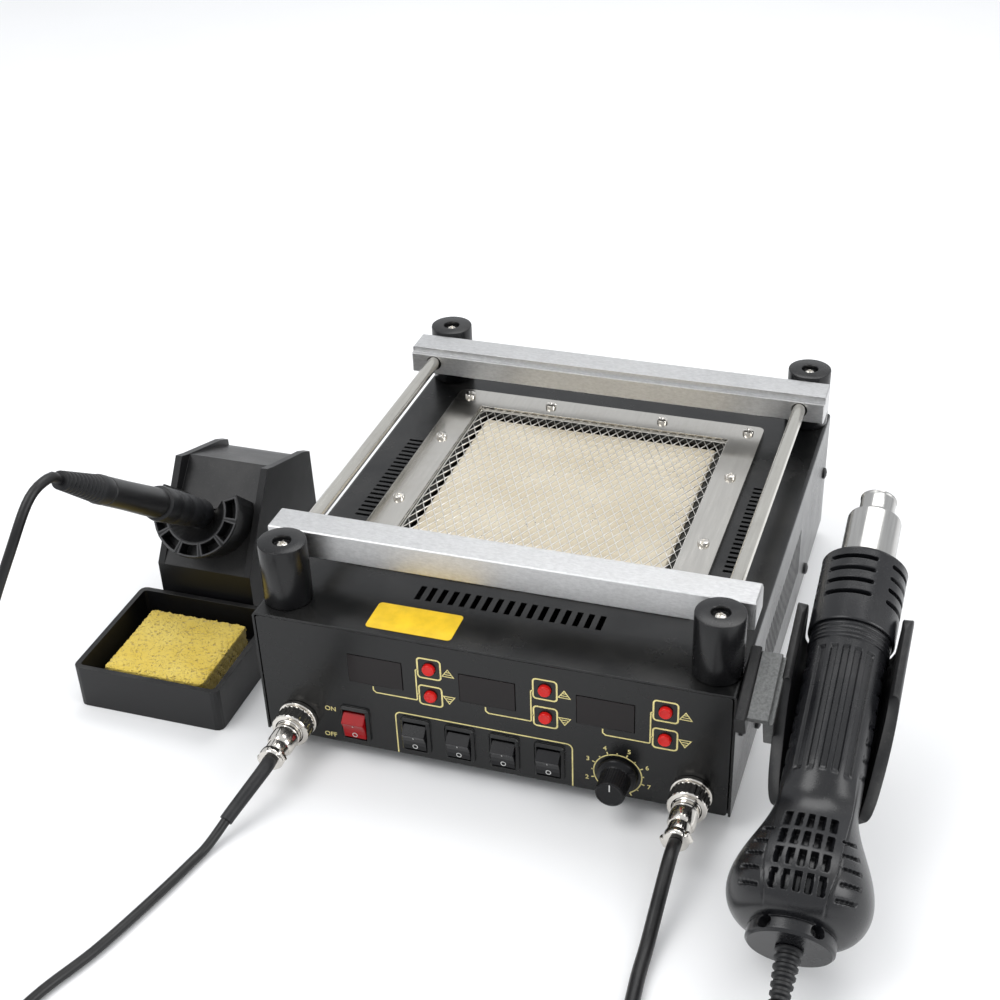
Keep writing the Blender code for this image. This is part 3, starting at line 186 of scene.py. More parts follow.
def rings(radius, heights, a):
    """Points at angles a round local Z; the radius may change along the height and round it."""
    return np.stack(np.broadcast_arrays(radius * np.cos(a), radius * np.sin(a),
                                        np.asarray(heights)[:, None]), -1)


def turned(profile, steps=None):
    """(radius, height) pairs carried round local Z: x = r cos a, y = r sin a, z = height."""
    steps = steps or sizes().turned_steps
    r, h = np.asarray(profile, float).T
    a = np.linspace(0, 2 * pi, steps, endpoint=False)
    return woven(rings(r[:, None], h, a), wrap_columns=True)


def swept(path, radius, steps=16):
    """A circle carried along a path, its frame turned least from point to point, ends closed."""
    path = np.asarray(path, float)
    ahead = np.gradient(path, axis=0)
    ahead /= np.linalg.norm(ahead, axis=1)[:, None]
    side = np.cross(ahead[0], (0.0, 0.0, 1.0) if abs(ahead[0][2]) < 0.9 else (1.0, 0.0, 0.0))
    sides = []
    for t in ahead:
        side = side - t * (side @ t)
        side /= np.linalg.norm(side)
        sides.append(side)
    sides = np.array(sides)
    ups = np.cross(ahead, sides)
    a = np.linspace(0, 2 * pi, steps, endpoint=False)
    r = np.broadcast_to(np.asarray(radius, float), len(path))
    rings = path[:, None] + r[:, None, None] * (np.cos(a)[None, :, None] * sides[:, None]
                                                 + np.sin(a)[None, :, None] * ups[:, None])
    first = np.repeat(path[:1], steps, 0)[None]
    last = np.repeat(path[-1:], steps, 0)[None]
    return woven(np.concatenate([first, rings, last]), wrap_columns=True)


def plate(outline, thickness):
    """A flat outline in local XY, standing from 0 to its thickness along local Z."""
    outline = np.asarray(outline, float)
    count = len(outline)
    low = np.column_stack([outline, np.zeros(count)])
    high = np.column_stack([outline, np.full(count, thickness)])
    sides = [[k, (k + 1) % count, count + (k + 1) % count, count + k] for k in range(count)]
    faces = [list(range(count))[::-1], [count + k for k in range(count)], *sides]
    return np.vstack([low, high]), faces


def ribbon(path, width, thickness, closed=False):
    """A line of even width on local XY: each point shifted half the width along its mitre."""
    path = np.asarray(path, float)
    nearby = np.vstack([path[-1:], path, path[:1]]) if closed else np.vstack(
        [2 * path[0] - path[1], path, 2 * path[-1] - path[-2]])
    ahead = np.diff(nearby, axis=0)
    ahead /= np.linalg.norm(ahead, axis=1)[:, None]
    normal = np.column_stack([-ahead[:, 1], ahead[:, 0]])
    mitre = normal[:-1] + normal[1:]
    mitre /= (mitre * mitre).sum(1)[:, None] / 2
    left, right = path + mitre * width / 2, path - mitre * width / 2
    zero, top = np.zeros((len(path), 1)), np.full((len(path), 1), thickness)
    section = np.stack([np.hstack([left, zero]), np.hstack([left, top]),
                        np.hstack([right, top]), np.hstack([right, zero])], 1)
    points, faces = woven(section, wrap_rows=closed, wrap_columns=True)
    if not closed:
        last = len(points) - 4
        faces += [[3, 2, 1, 0], [last, last + 1, last + 2, last + 3]]
    return points, faces


def block(low, high, e=0.0):
    """A box from corner to corner, its four upright edges cut off by e where that is given."""
    (x0, y0, z0), (x1, y1, z1) = low, high
    shape = plate([(x0 + e, y0), (x1 - e, y0), (x1, y0 + e), (x1, y1 - e), (x1 - e, y1),
                   (x0 + e, y1), (x0, y1 - e), (x0, y0 + e)] if e else
                  [(x0, y0), (x1, y0), (x1, y1), (x0, y1)], z1 - z0)
    return placed(shape, Matrix.Translation((0, 0, z0)))


def arc(centre, radius, start, end, count):
    a = np.linspace(start, end, count)
    return np.column_stack([centre[0] + radius * np.cos(a), centre[1] + radius * np.sin(a)])


def rounded(low, high, radius, count=6):
    """Points of a rounded rectangle, anticlockwise."""
    corners = ((high[0] - radius, high[1] - radius), (low[0] + radius, high[1] - radius),
               (low[0] + radius, low[1] + radius), (high[0] - radius, low[1] + radius))
    return np.vstack([arc(c, radius, k * pi / 2, (k + 1) * pi / 2, count)
                      for k, c in enumerate(corners)])


def placed(shape, matrix):
    points, faces = shape
    m = np.array(matrix)
    return points @ m[:3, :3].T + m[:3, 3], faces


def above_middle(low, high):
    """The upright axis of a box."""
    return Matrix.Translation(((low.x + high.x) / 2, (low.y + high.y) / 2, 0))


def together(shapes):
    """Several shapes as one, each face list shifted past the points before it."""
    points, faces, count = [], [], 0
    for part_points, part_faces in shapes:
        points.append(part_points)
        faces += [[k + count for k in face] for face in part_faces]
        count += len(part_points)
    return np.vstack(points), faces


def lettering(text, size, thickness):
    """Text as a shape in local XY, centred on its middle."""
    curve = bpy.data.curves.new("lettering", "FONT")
    curve.body = text
    curve.size = size
    curve.align_x = "CENTER"
    curve.align_y = "CENTER"
    curve.extrude = thickness / 2
    curve.offset = size * 0.012
    helper = bpy.data.objects.new("lettering", curve)
    bpy.context.scene.collection.objects.link(helper)
    bpy.context.view_layer.update()
    mesh = helper.evaluated_get(bpy.context.evaluated_depsgraph_get()).to_mesh()
    points = np.array([v.co for v in mesh.vertices], float)
    faces = [list(p.vertices) for p in mesh.polygons]
    bpy.data.objects.remove(helper, do_unlink=True)
    return points, faces


def piece(name, shape, finish, body, replaces=(), sharp=radians(35), ride=True):
    """One finished object at the origin, welded, facing outwards and riding on its body."""
    mesh = bpy.data.meshes.new(name)
    mesh.from_pydata(shape[0], [], shape[1])
    work = bmesh.new()
    work.from_mesh(mesh)
    bmesh.ops.remove_doubles(work, verts=work.verts, dist=0.000002)
    bmesh.ops.dissolve_degenerate(work, edges=work.edges, dist=0.000001)
    bmesh.ops.recalc_face_normals(work, faces=work.faces)
    work.to_mesh(mesh)
    work.free()
    mesh.shade_smooth()
    mesh.set_sharp_from_angle(angle=sharp)
    mesh.materials.append(look(finish))
    made = bpy.data.objects.new(name, mesh)
    bpy.context.scene.collection.objects.link(made)
    if ride:
        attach(made, body)
    if replaces:
        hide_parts(*replaces)
    return made


def dress(finish, *names):
    """Give CAD nodes a finish through their material slots."""
    material = look(finish)
    for name in names:
        slots = NODES[name].material_slots
        if not slots:
            NODES[name].data.materials.append(material)
        for slot in slots:
            slot.material = material


# Node trees
class Graph:
    """Adds and joins the nodes of one tree."""

    def __init__(self, tree):
        self.tree = tree

    def feed(self, socket, value):
        if isinstance(value, bpy.types.NodeSocket):
            self.tree.links.new(value, socket)
        elif isinstance(value, (tuple, list)) and len(value) == 3 and socket.type == "RGBA":
            socket.default_value = (*value, 1.0)
        else:
            socket.default_value = value

    def node(self, kind, settings=None, **inputs):
        made = self.tree.nodes.new(kind)
        for key, value in (settings or {}).items():
            setattr(made, key, value)
        for key, value in inputs.items():
            self.feed(made.inputs[key.replace("_", " ")], value)
        return made

    def math(self, operation, *values, clamp=False):
        made = self.node("ShaderNodeMath", {"operation": operation, "use_clamp": clamp})
        for socket, value in zip(made.inputs, values):
            self.feed(socket, value)
        return made.outputs[0]

    def mix(self, factor, first, second, blend="MIX"):
        made = self.node("ShaderNodeMix", {"data_type": "RGBA", "blend_type": blend})
        for place, value in ((0, factor), (6, first), (7, second)):
            self.feed(made.inputs[place], value)
        return made.outputs[2]

    def shaded(self, colour, shade):
        """A colour times a shade of grey."""
        grey = self.node("ShaderNodeCombineColor", Red=shade, Green=shade, Blue=shade).outputs[0]
        return self.mix(1.0, tuple(colour), grey, "MULTIPLY")

    def fit(self, value, low, high, to_low=0.0, to_high=1.0):
        made = self.node("ShaderNodeMapRange", Value=value)
        for place, number in zip(("From Min", "From Max", "To Min", "To Max"),
                                 (low, high, to_low, to_high)):
            made.inputs[place].default_value = number
        return made.outputs[0]

    def noise(self, vector, scale, detail=2.0, roughness=0.5):
        return self.node("ShaderNodeTexNoise", Vector=vector, Scale=scale, Detail=detail,
                         Roughness=roughness).outputs[0]

    def stretched(self, vector, scale):
        return self.node("ShaderNodeMapping", {"vector_type": "POINT"}, Vector=vector,
                         Scale=scale).outputs[0]

    def bump(self, height, distance, normal=None):
        made = self.node("ShaderNodeBump", Strength=1.0, Distance=distance, Height=height)
        if normal is not None:
            self.feed(made.inputs["Normal"], normal)
        return made.outputs[0]


def shared(name, numbers, results):
    """Build a node group once. It takes a vector and numbers, and gives numbers or a normal."""
    def wrap(build):
        def found_or_made():
            tree = bpy.data.node_groups.get(name)
            if tree is None:
                tree = bpy.data.node_groups.new(name, "ShaderNodeTree")
                tree.interface.new_socket("Vector", in_out="INPUT", socket_type="NodeSocketVector")
                for label, usual in numbers.items():
                    tree.interface.new_socket(label, in_out="INPUT",
                                              socket_type="NodeSocketFloat").default_value = usual
                for label in results:
                    kind = "NodeSocketVector" if label == "Normal" else "NodeSocketFloat"
                    tree.interface.new_socket(label, in_out="OUTPUT", socket_type=kind)
                graph = Graph(tree)
                given = graph.node("NodeGroupInput").outputs
                wanted = graph.node("NodeGroupOutput").inputs
                for label, value in build(graph, given).items():
                    graph.feed(wanted[label], value)
            return tree
        return found_or_made
    return wrap


@shared("Edge wear", {"Radius": 0.0006, "Breakup": 180.0}, ("Mask", "Normal"))
def edge_wear(graph, given):
    """Where a rounded normal leaves the flat one, broken up by noise: rubbed edges that also paint an
    edge highlight.
    """
    rounded_normal = graph.node("ShaderNodeBevel", {"samples": 4}, Radius=given["Radius"]).outputs[0]
    turn = graph.node("ShaderNodeVectorMath", {"operation": "DOT_PRODUCT"})
    graph.feed(turn.inputs[0], rounded_normal)
    graph.feed(turn.inputs[1], graph.node("ShaderNodeNewGeometry").outputs["Normal"])
    edge = graph.fit(graph.math("SUBTRACT", 1.0, turn.outputs["Value"]), 0.02, 0.22)
    broken = graph.fit(graph.noise(given["Vector"], given["Breakup"], 4.0, 0.6), 0.42, 0.62)
    return {"Mask": graph.math("MULTIPLY", edge, broken, clamp=True), "Normal": rounded_normal}


@shared("Fine grain", {"Grain": 1800.0, "Cloud": 22.0}, ("Height", "Shade"))
def fine_grain(graph, given):
    """Two noises of different size: cloudy shade and fine height of a moulded or coated skin."""
    return {"Height": graph.noise(given["Vector"], given["Grain"], 2.0, 0.55),
            "Shade": graph.noise(given["Vector"], given["Cloud"], 5.0, 0.6)}


@shared("Settled dust", {"Amount": 0.2}, ("Mask",))
def settled_dust(graph, given):
    """Upward faces times a soft noise: the little dust that settles on a bench tool."""
    normal = graph.node("ShaderNodeNewGeometry").outputs["Normal"]
    upward = graph.node("ShaderNodeSeparateXYZ", Vector=normal).outputs[2]
    cloud = graph.fit(graph.noise(given["Vector"], 34.0, 6.0, 0.65), 0.42, 0.70)
    speck = graph.fit(graph.noise(given["Vector"], 900.0, 2.0), 0.60, 0.72, 0.0, 0.7)
    both = graph.math("ADD", cloud, speck, clamp=True)
    lying = graph.math("MULTIPLY", graph.fit(upward, 0.3, 0.95), both)
    return {"Mask": graph.math("MULTIPLY", lying, given["Amount"], clamp=True)}


@shared("Drawn lines", {}, ("Streak", "Height"))
def drawn_lines(graph, given):
    """Noise drawn out along one direction: brushing or drawing marks of a metal."""
    return {"Streak": graph.noise(given["Vector"], 1.0, 6.0, 0.62),
            "Height": graph.noise(given["Vector"], 3.1, 3.0, 0.5)}


def use(graph, tree, **inputs):
    made = graph.tree.nodes.new("ShaderNodeGroup")
    made.node_tree = tree
    for key, value in inputs.items():
        graph.feed(made.inputs[key], value)
    return made.outputs


def new_material(name):
    """A material with its graph, its shader and the object's own coordinates."""
    made = bpy.data.materials.new("look_" + name)
    made.use_nodes = True
    graph = Graph(made.node_tree)
    shader = made.node_tree.nodes["Principled BSDF"]
    return made, graph, shader, graph.node("ShaderNodeTexCoord").outputs["Object"]


def coated(name, colour, roughness, grain, depth, worn, dust=0.0, cloud=22.0, radius=0.0005,
           gloss=0.36):
    """A plastic or paint: cloudy colour, fine skin, edges lightened as rubbed wear and painted
    highlight, and a little dust.
    """
    made, graph, shader, place = new_material(name)
    skin = use(graph, fine_grain(), Vector=place, Grain=grain, Cloud=cloud)
    wear_and_highlight = use(graph, edge_wear(), Vector=place, Radius=radius)
    shade = graph.fit(skin["Shade"], 0.3, 0.7, 0.80, 1.22)
    tint = graph.shaded(colour, shade)
    # Edges are mixed toward the lighter edge colour: partly rubbed wear, partly a painted edge
    # highlight
    base = graph.mix(graph.math("MULTIPLY", wear_and_highlight["Mask"], 0.55), tint, worn)
    rough = graph.fit(skin["Shade"], 0.3, 0.7, roughness - 0.06, roughness + 0.07)
    if dust:
        lying = use(graph, settled_dust(), Vector=place, Amount=dust)["Mask"]
        base = graph.mix(lying, base, (0.42, 0.40, 0.37))
        rough = graph.math("ADD", rough, graph.math("MULTIPLY", lying, 0.4), clamp=True)
    graph.feed(shader.inputs["Base Color"], base)
    graph.feed(shader.inputs["Roughness"], rough)
    graph.feed(shader.inputs["Normal"], graph.bump(skin["Height"], depth, wear_and_highlight["Normal"]))
    shader.inputs["Specular IOR Level"].default_value = gloss
    return made


def metal(name, colour, roughness, stretch, depth, contrast, tarnish=(0.35, 0.33, 0.30)):
    """A metal with drawing marks along one axis, cloudy gloss and faint tarnish."""
    made, graph, shader, place = new_material(name)
    lines = use(graph, drawn_lines(), Vector=graph.stretched(place, stretch))
    skin = use(graph, fine_grain(), Vector=place, Grain=1500.0, Cloud=30.0)
    wear_and_highlight = use(graph, edge_wear(), Vector=place, Radius=0.0004)
    shade = graph.fit(lines["Streak"], 0.3, 0.7, 1 - contrast, 1 + contrast / 2)
    tint = graph.shaded(colour, shade)
    cloud = graph.fit(skin["Shade"], 0.52, 0.78, 0.0, 0.35)
    graph.feed(shader.inputs["Base Color"], graph.mix(cloud, tint, tarnish))
    rough = graph.fit(graph.math("ADD", lines["Streak"], skin["Shade"]), 0.7, 1.3,
                      roughness - 0.05, roughness + 0.08)
    graph.feed(shader.inputs["Roughness"], graph.math("MAXIMUM", rough, 0.03))
    shader.inputs["Metallic"].default_value = 1.0
    graph.feed(shader.inputs["Normal"], graph.bump(lines["Height"], depth, wear_and_highlight["Normal"]))
    return made


# Plastics and paints: colour or its setting, roughness, grain, depth, edge colour for rubbed wear and
# painted edge highlight, what else differs
COATED = {
    "case_paint": ("case", 0.24, 1500.0, 0.00003, (0.09, 0.09, 0.09),
                   {"dust": 0.03, "cloud": 16.0, "gloss": 0.37}),
    "moulded_plastic": ("moulding", 0.40, 2100.0, 0.00006, (0.05, 0.05, 0.055), {"dust": 0.06}),
    # The funnel rims' lighter grey is a painted highlight on the thin walls of the pockets
    "worn_rim": ((0.060, 0.060, 0.062), 0.40, 2100.0, 0.00004, (0.16, 0.16, 0.16), {"cloud": 120.0}),
    "gun_plastic": ("gun", 0.25, 2300.0, 0.00004, (0.06, 0.06, 0.065), {"dust": 0.03, "gloss": 0.46}),
    "post_plastic": ("moulding", 0.26, 1100.0, 0.00003, (0.05, 0.05, 0.05), {"dust": 0.05}),
    "switch_plastic": ((0.006, 0.006, 0.007), 0.24, 1700.0, 0.00002, (0.05, 0.05, 0.05),
                       {"dust": 0.02, "radius": 0.0004, "gloss": 0.22}),
    "soft_rubber": ((0.0075, 0.0078, 0.0090), 0.46, 900.0, 0.00005, (0.04, 0.04, 0.045),
                    {"dust": 0.06, "cloud": 40.0}),
    "cord_jacket": ((0.006, 0.006, 0.0065), 0.34, 700.0, 0.00005, (0.04, 0.04, 0.04),
                    {"dust": 0.04, "cloud": 60.0}),
    "red_button": ("button", 0.28, 1300.0, 0.00002, (0.70, 0.06, 0.05),
                   {"radius": 0.0003, "gloss": 0.3}),
    "red_rocker": ((0.30, 0.001, 0.003), 0.12, 900.0, 0.00002, (0.40, 0.01, 0.01), {"gloss": 0.14}),
    "display_filter": ((0.0040, 0.0018, 0.0020), 0.12, 600.0, 0.00001, (0.02, 0.01, 0.01),
                       {"dust": 0.02, "gloss": 0.30}),
    "panel_ink": ("print_ink", 0.50, 2600.0, 0.00001, (0.50, 0.43, 0.18), {"cloud": 160.0}),
    "white_ink": ((0.72, 0.72, 0.70), 0.50, 2600.0, 0.00001, (0.45, 0.45, 0.44), {"cloud": 160.0}),
    "yellow_plate": ("plate", 0.34, 1200.0, 0.00002, (0.62, 0.42, 0.06),
                     {"dust": 0.03, "cloud": 60.0}),
    "black_screw": ((0.020, 0.020, 0.021), 0.30, 1300.0, 0.00003, (0.16, 0.16, 0.16),
                    {"dust": 0.10, "radius": 0.0003}),
}

# Metals: colour, roughness, stretch of the drawing marks, depth, contrast, tarnish where it differs
METALS = {
    "bar_metal": ((0.60, 0.60, 0.60), 0.40, (420.0, 900.0, 900.0), 0.00006, 0.16, (0.50, 0.50, 0.49)),
    "frame_metal": ((0.62, 0.60, 0.56), 0.17, (500.0, 30.0, 500.0), 0.00001, 0.05, (0.46, 0.43, 0.38)),
    "rod_metal": ((0.62, 0.60, 0.55), 0.12, (700.0, 40.0, 700.0), 0.00001, 0.06),
    "nickel": ((0.74, 0.71, 0.66), 0.09, (260.0, 260.0, 260.0), 0.00001, 0.08),
    "nozzle_metal": ((0.47, 0.465, 0.45), 0.20, (600.0, 30.0, 30.0), 0.00002, 0.12),
    "wire_metal": ((0.82, 0.80, 0.76), 0.30, (300.0, 300.0, 300.0), 0.00002, 0.08, (0.75, 0.73, 0.70)),
    "tray_metal": ((0.040, 0.039, 0.036), 0.50, (40.0, 500.0, 500.0), 0.00003, 0.20,
                   (0.025, 0.023, 0.020)),
    "zinc_plate": ((0.15, 0.152, 0.15), 0.46, (700.0, 700.0, 700.0), 0.00008, 0.35, (0.10, 0.10, 0.10)),
}


def look(name):
    """The material of this name, from the tables or its own function, made only once."""
    found = bpy.data.materials.get("look_" + name)
    if found:
        return found
    if name in METALS:
        return metal(name, *METALS[name])
    if name in COATED:
        colour, *rest, others = COATED[name]
        return coated(name, getattr(colours(), colour) if isinstance(colour, str) else colour,
                      *rest, **others)
    return {"heater_ceramic": heater_ceramic, "cellulose": cellulose, "pale_floor": pale_floor}[name]()


def heater_ceramic():
    """Cream heater tile: cloudy firing tone, fine specks and shallow pits."""
    made, graph, shader, place = new_material("heater_ceramic")
    skin = use(graph, fine_grain(), Vector=place, Grain=700.0, Cloud=26.0)
    warm = graph.fit(skin["Shade"], 0.35, 0.70)
    base = graph.mix(warm, tuple(colours().tile), (0.68, 0.62, 0.50))
    speck = graph.fit(graph.noise(place, 1400.0, 1.0), 0.66, 0.72, 0.0, 0.55)
    graph.feed(shader.inputs["Base Color"], graph.mix(speck, base, (0.38, 0.30, 0.20)))
    graph.feed(shader.inputs["Roughness"], graph.fit(skin["Shade"], 0.3, 0.7, 0.48, 0.64))
    graph.feed(shader.inputs["Normal"], graph.bump(skin["Height"], 0.00012))
    return made


def cellulose():
    """Yellow cellulose sponge: pores of two sizes that dent it and are darkened as painted shade in
    their hollows.
    """
    made, graph, shader, place = new_material("cellulose")
    bend = graph.node("ShaderNodeVectorMath", {"operation": "ADD"})
    graph.feed(bend.inputs[0], place)
    wobble = graph.node("ShaderNodeTexNoise", Vector=place, Scale=240.0, Detail=2.0).outputs[1]
    small = graph.node("ShaderNodeVectorMath", {"operation": "SCALE"}, Scale=0.0022)
    graph.feed(small.inputs[0], wobble)
    graph.feed(bend.inputs[1], small.outputs[0])
    big = graph.node("ShaderNodeTexVoronoi", Vector=bend.outputs[0], Scale=330.0).outputs[0]
    fine = graph.node("ShaderNodeTexVoronoi", Vector=bend.outputs[0], Scale=900.0).outputs[0]
    pores = graph.math("MULTIPLY", graph.fit(big, 0.05, 0.32), graph.fit(fine, 0.03, 0.30))
    skin = use(graph, fine_grain(), Vector=place, Grain=2400.0, Cloud=45.0)
    tone = graph.mix(graph.fit(skin["Shade"], 0.3, 0.7), tuple(colours().sponge), (0.74, 0.57, 0.12))
    # Pores take a darker yellow: painted shade in their hollows
    base = graph.mix(pores, (0.50, 0.34, 0.05), tone)
    graph.feed(shader.inputs["Base Color"], base)
    graph.feed(shader.inputs["Roughness"], graph.fit(pores, 0.0, 1.0, 0.98, 0.82))
    shader.inputs["Sheen Weight"].default_value = 0.25
    graph.feed(shader.inputs["Normal"], graph.bump(pores, 0.0007))
    return made


def pale_floor():
    made, graph, shader, place = new_material("pale_floor")
    skin = use(graph, fine_grain(), Vector=place, Grain=90.0, Cloud=3.0)
    tint = graph.mix(graph.fit(skin["Shade"], 0.2, 0.8), tuple(colours().floor), (0.90, 0.90, 0.90))
    graph.feed(shader.inputs["Base Color"], tint)
    graph.feed(shader.inputs["Roughness"], graph.fit(skin["Shade"], 0.3, 0.7, 0.55, 0.65))
    return made


# Stage
def area_light(name, place, target, power, width, height):
    light = bpy.data.lights.new(name, "AREA")
    light.shape = "RECTANGLE"
    light.size, light.size_y = width, height
    light.energy = power
    made = bpy.data.objects.new(name, light)
    bpy.context.scene.collection.objects.link(made)
    made.location = place
    made.rotation_euler = (Vector(target) - Vector(place)).to_track_quat("-Z", "Y").to_euler()


class STATION_OT_stage(bpy.types.Operator):
    """Camera at the photograph's angle, pale floor and soft studio light"""
    bl_idname = "station.stage"
    bl_label = "Stage"

    def execute(self, context):
        scene = context.scene
        ahead = Vector((sin(CAMERA_YAW) * cos(CAMERA_DOWN), cos(CAMERA_YAW) * cos(CAMERA_DOWN),
                        -sin(CAMERA_DOWN)))
        level = Vector((cos(CAMERA_YAW), -sin(CAMERA_YAW), 0.0))
        above = level.cross(ahead)
        right = level * cos(CAMERA_ROLL) + above * sin(CAMERA_ROLL)
        up = above * cos(CAMERA_ROLL) - level * sin(CAMERA_ROLL)
        camera = bpy.data.objects.new("camera", bpy.data.cameras.new("camera"))
        scene.collection.objects.link(camera)
        turn = Matrix((right, up, -ahead)).transposed().to_4x4()
        camera.matrix_world = Matrix.Translation(CAMERA_AT) @ turn
        camera.data.sensor_width = SENSOR_MM
        camera.data.lens = FOCAL_PIXELS / PHOTO_SIZE * SENSOR_MM
        camera.data.shift_x = (PHOTO_SIZE / 2 - PHOTO_CENTRE[0]) / PHOTO_SIZE
        camera.data.shift_y = (PHOTO_CENTRE[1] - PHOTO_SIZE / 2) / PHOTO_SIZE
        camera.data.clip_start = 0.05
        camera.data.clip_end = 40
        scene.camera = camera
        half, low = 4.0, -0.0002
        corners = np.array([[(-half, -half, low), (half, -half, low)],
                            [(-half, half, low), (half, half, low)]])
        floor = piece("floor", woven(corners), "pale_floor", None, ride=False)
        if floor.data.polygons[0].normal.z < 0:
            floor.data.flip_normals()
        world = bpy.data.worlds.new("studio")
        world.use_nodes = True
        world.node_tree.nodes["Background"].inputs["Color"].default_value = (0.95, 0.97, 1.0, 1.0)
        world.node_tree.nodes["Background"].inputs["Strength"].default_value = 0.82
        scene.world = world
        area_light("key light", (-0.75, -0.55, 1.55), (0, 0, 0.05), 13, 1.1, 1.1)
        area_light("top light", (0.15, 0.75, 1.45), (0, 0.05, 0.05), 9, 1.4, 0.7)
        area_light("side light", (1.35, -0.25, 0.75), (0.1, 0, 0.05), 8, 0.7, 0.9)
        scene.view_settings.view_transform = "Standard"
        return {"FINISHED"}


# Cords: the routes of the CAD, repeated
GUN_COIL = (Vector((CASE_X + 0.190, CASE_FRONT - 0.230)), 0.039)
IRON_COIL = (Vector((CASE_X - 0.185, CASE_FRONT - 0.262)), 0.028)
GUN_RELIEF_END = -0.024
IRON_RELIEF_END = 0.142
COIL_TURNS = 3.5
LANE_SPREAD = 1.02
POINTS_PER_TURN = 32


def smooth_path(points, spacing):
    """Catmull-Rom curve through the points, measured out at even distances."""
    p = np.array(points, float)
    p = np.vstack([2 * p[0] - p[1], p, 2 * p[-1] - p[-2]])
    t = np.linspace(0, 1, 24, endpoint=False)[:, None]
    dense = [0.5 * (2 * p[k] + (p[k + 1] - p[k - 1]) * t
                    + (2 * p[k - 1] - 5 * p[k] + 4 * p[k + 1] - p[k + 2]) * t ** 2
                    + (3 * p[k] - p[k - 1] - 3 * p[k + 1] + p[k + 2]) * t ** 3)
             for k in range(1, len(p) - 2)]
    dense = np.vstack([*dense, p[-2:-1]])
    run = np.concatenate([[0], np.cumsum(np.linalg.norm(np.diff(dense, axis=0), axis=1))])
    places = np.linspace(0, run[-1], ceil(run[-1] / spacing) + 1)
    return np.column_stack([np.interp(places, run, dense[:, axis]) for axis in range(3)])


def cut_in_two(points, joint, spacing):
    """The part past the joint and the part up to it, of one smooth route through all points."""
    route = smooth_path(points, spacing)
    route[:, 2] = np.maximum(route[:, 2], min(point[2] for point in points))
    where = int(np.linalg.norm(route - np.array(joint), axis=1).argmin())
    return route[where:], route[:where + 1]


def coil_turns(centre, radius, cord, start, way):
    """Turns in two lanes by two layers: angle grows evenly, and in the last part of each turn
    the radius and height ease over to the next lane. Lanes: outer and inner below, then inner
    and outer on top."""
    angle = np.linspace(0, COIL_TURNS, int(COIL_TURNS * POINTS_PER_TURN) + 1)
    lanes = np.array([(0.5, 0), (-0.5, 0), (-0.5, 1), (0.5, 1)], float)
    lane = np.minimum(angle.astype(int), 3)
    following = np.minimum(lane + 1, 3)
    ease = np.clip((angle - lane - 0.86) / 0.14, 0, 1)
    ease = (ease * ease * (3 - 2 * ease))[:, None]
    step = lanes[lane] * (1 - ease) + lanes[following] * ease
    r = radius + step[:, 0] * cord * LANE_SPREAD
    turn = start + way * 2 * pi * angle
    return np.column_stack([centre.x + r * np.cos(turn), centre.y + r * np.sin(turn),
                            cord / 2 + GAP + step[:, 1] * cord])


def gun_cord_paths():
    """The part that follows the gun, and the part from the panel through the coil."""
    d = sizes().gun_cord
    floor = d / 2 + GAP
    start = gun_frame() @ Vector((0, 0, GUN_RELIEF_END - GAP))
    straight = gun_frame() @ Vector((0, 0, GUN_RELIEF_END - 0.010))
    centre, radius = GUN_COIL
    out_x = centre.x + radius + 0.5 * d * LANE_SPREAD
    reach = centre.y + 0.050
    lead = [(out_x - 0.0015, reach, floor), (start.x + 0.042, CASE_FRONT - 0.174, floor),
            (start.x + 0.022, CASE_FRONT - 0.168, floor), (start.x + 0.007, CASE_FRONT - 0.157, 0.0075),
            (start.x + 0.002, start.y - 0.022, start.z - 0.0090), straight, start]
    x = CASE_X + SOCKET_X
    z = CASE_FOOT + SOCKET_Z
    run = [(x, CASE_FRONT - PLUG_REACH, z), (x, CASE_FRONT - 0.048, z),
           (x, CASE_FRONT - 0.070, z - 0.007), (x, CASE_FRONT - 0.090, 0.0060),
           (x + 0.0005, CASE_FRONT - 0.112, floor), (x + 0.0045, CASE_FRONT - 0.140, floor),
           (x + 0.0205, CASE_FRONT - 0.166, floor), (centre.x - radius, centre.y + 0.034, floor)]
    turns = coil_turns(centre, radius, d, pi, 1)
    leave = [(out_x, centre.y + 0.014, floor + d), (out_x - 0.0002, centre.y + 0.026, floor + 0.85 * d),
             (out_x - 0.0008, centre.y + 0.038, floor + 0.25 * d), (out_x - 0.0015, reach, floor)]
    return cut_in_two([*run, *turns[1:], *leave[:-1], *lead], lead[0], 0.0045)


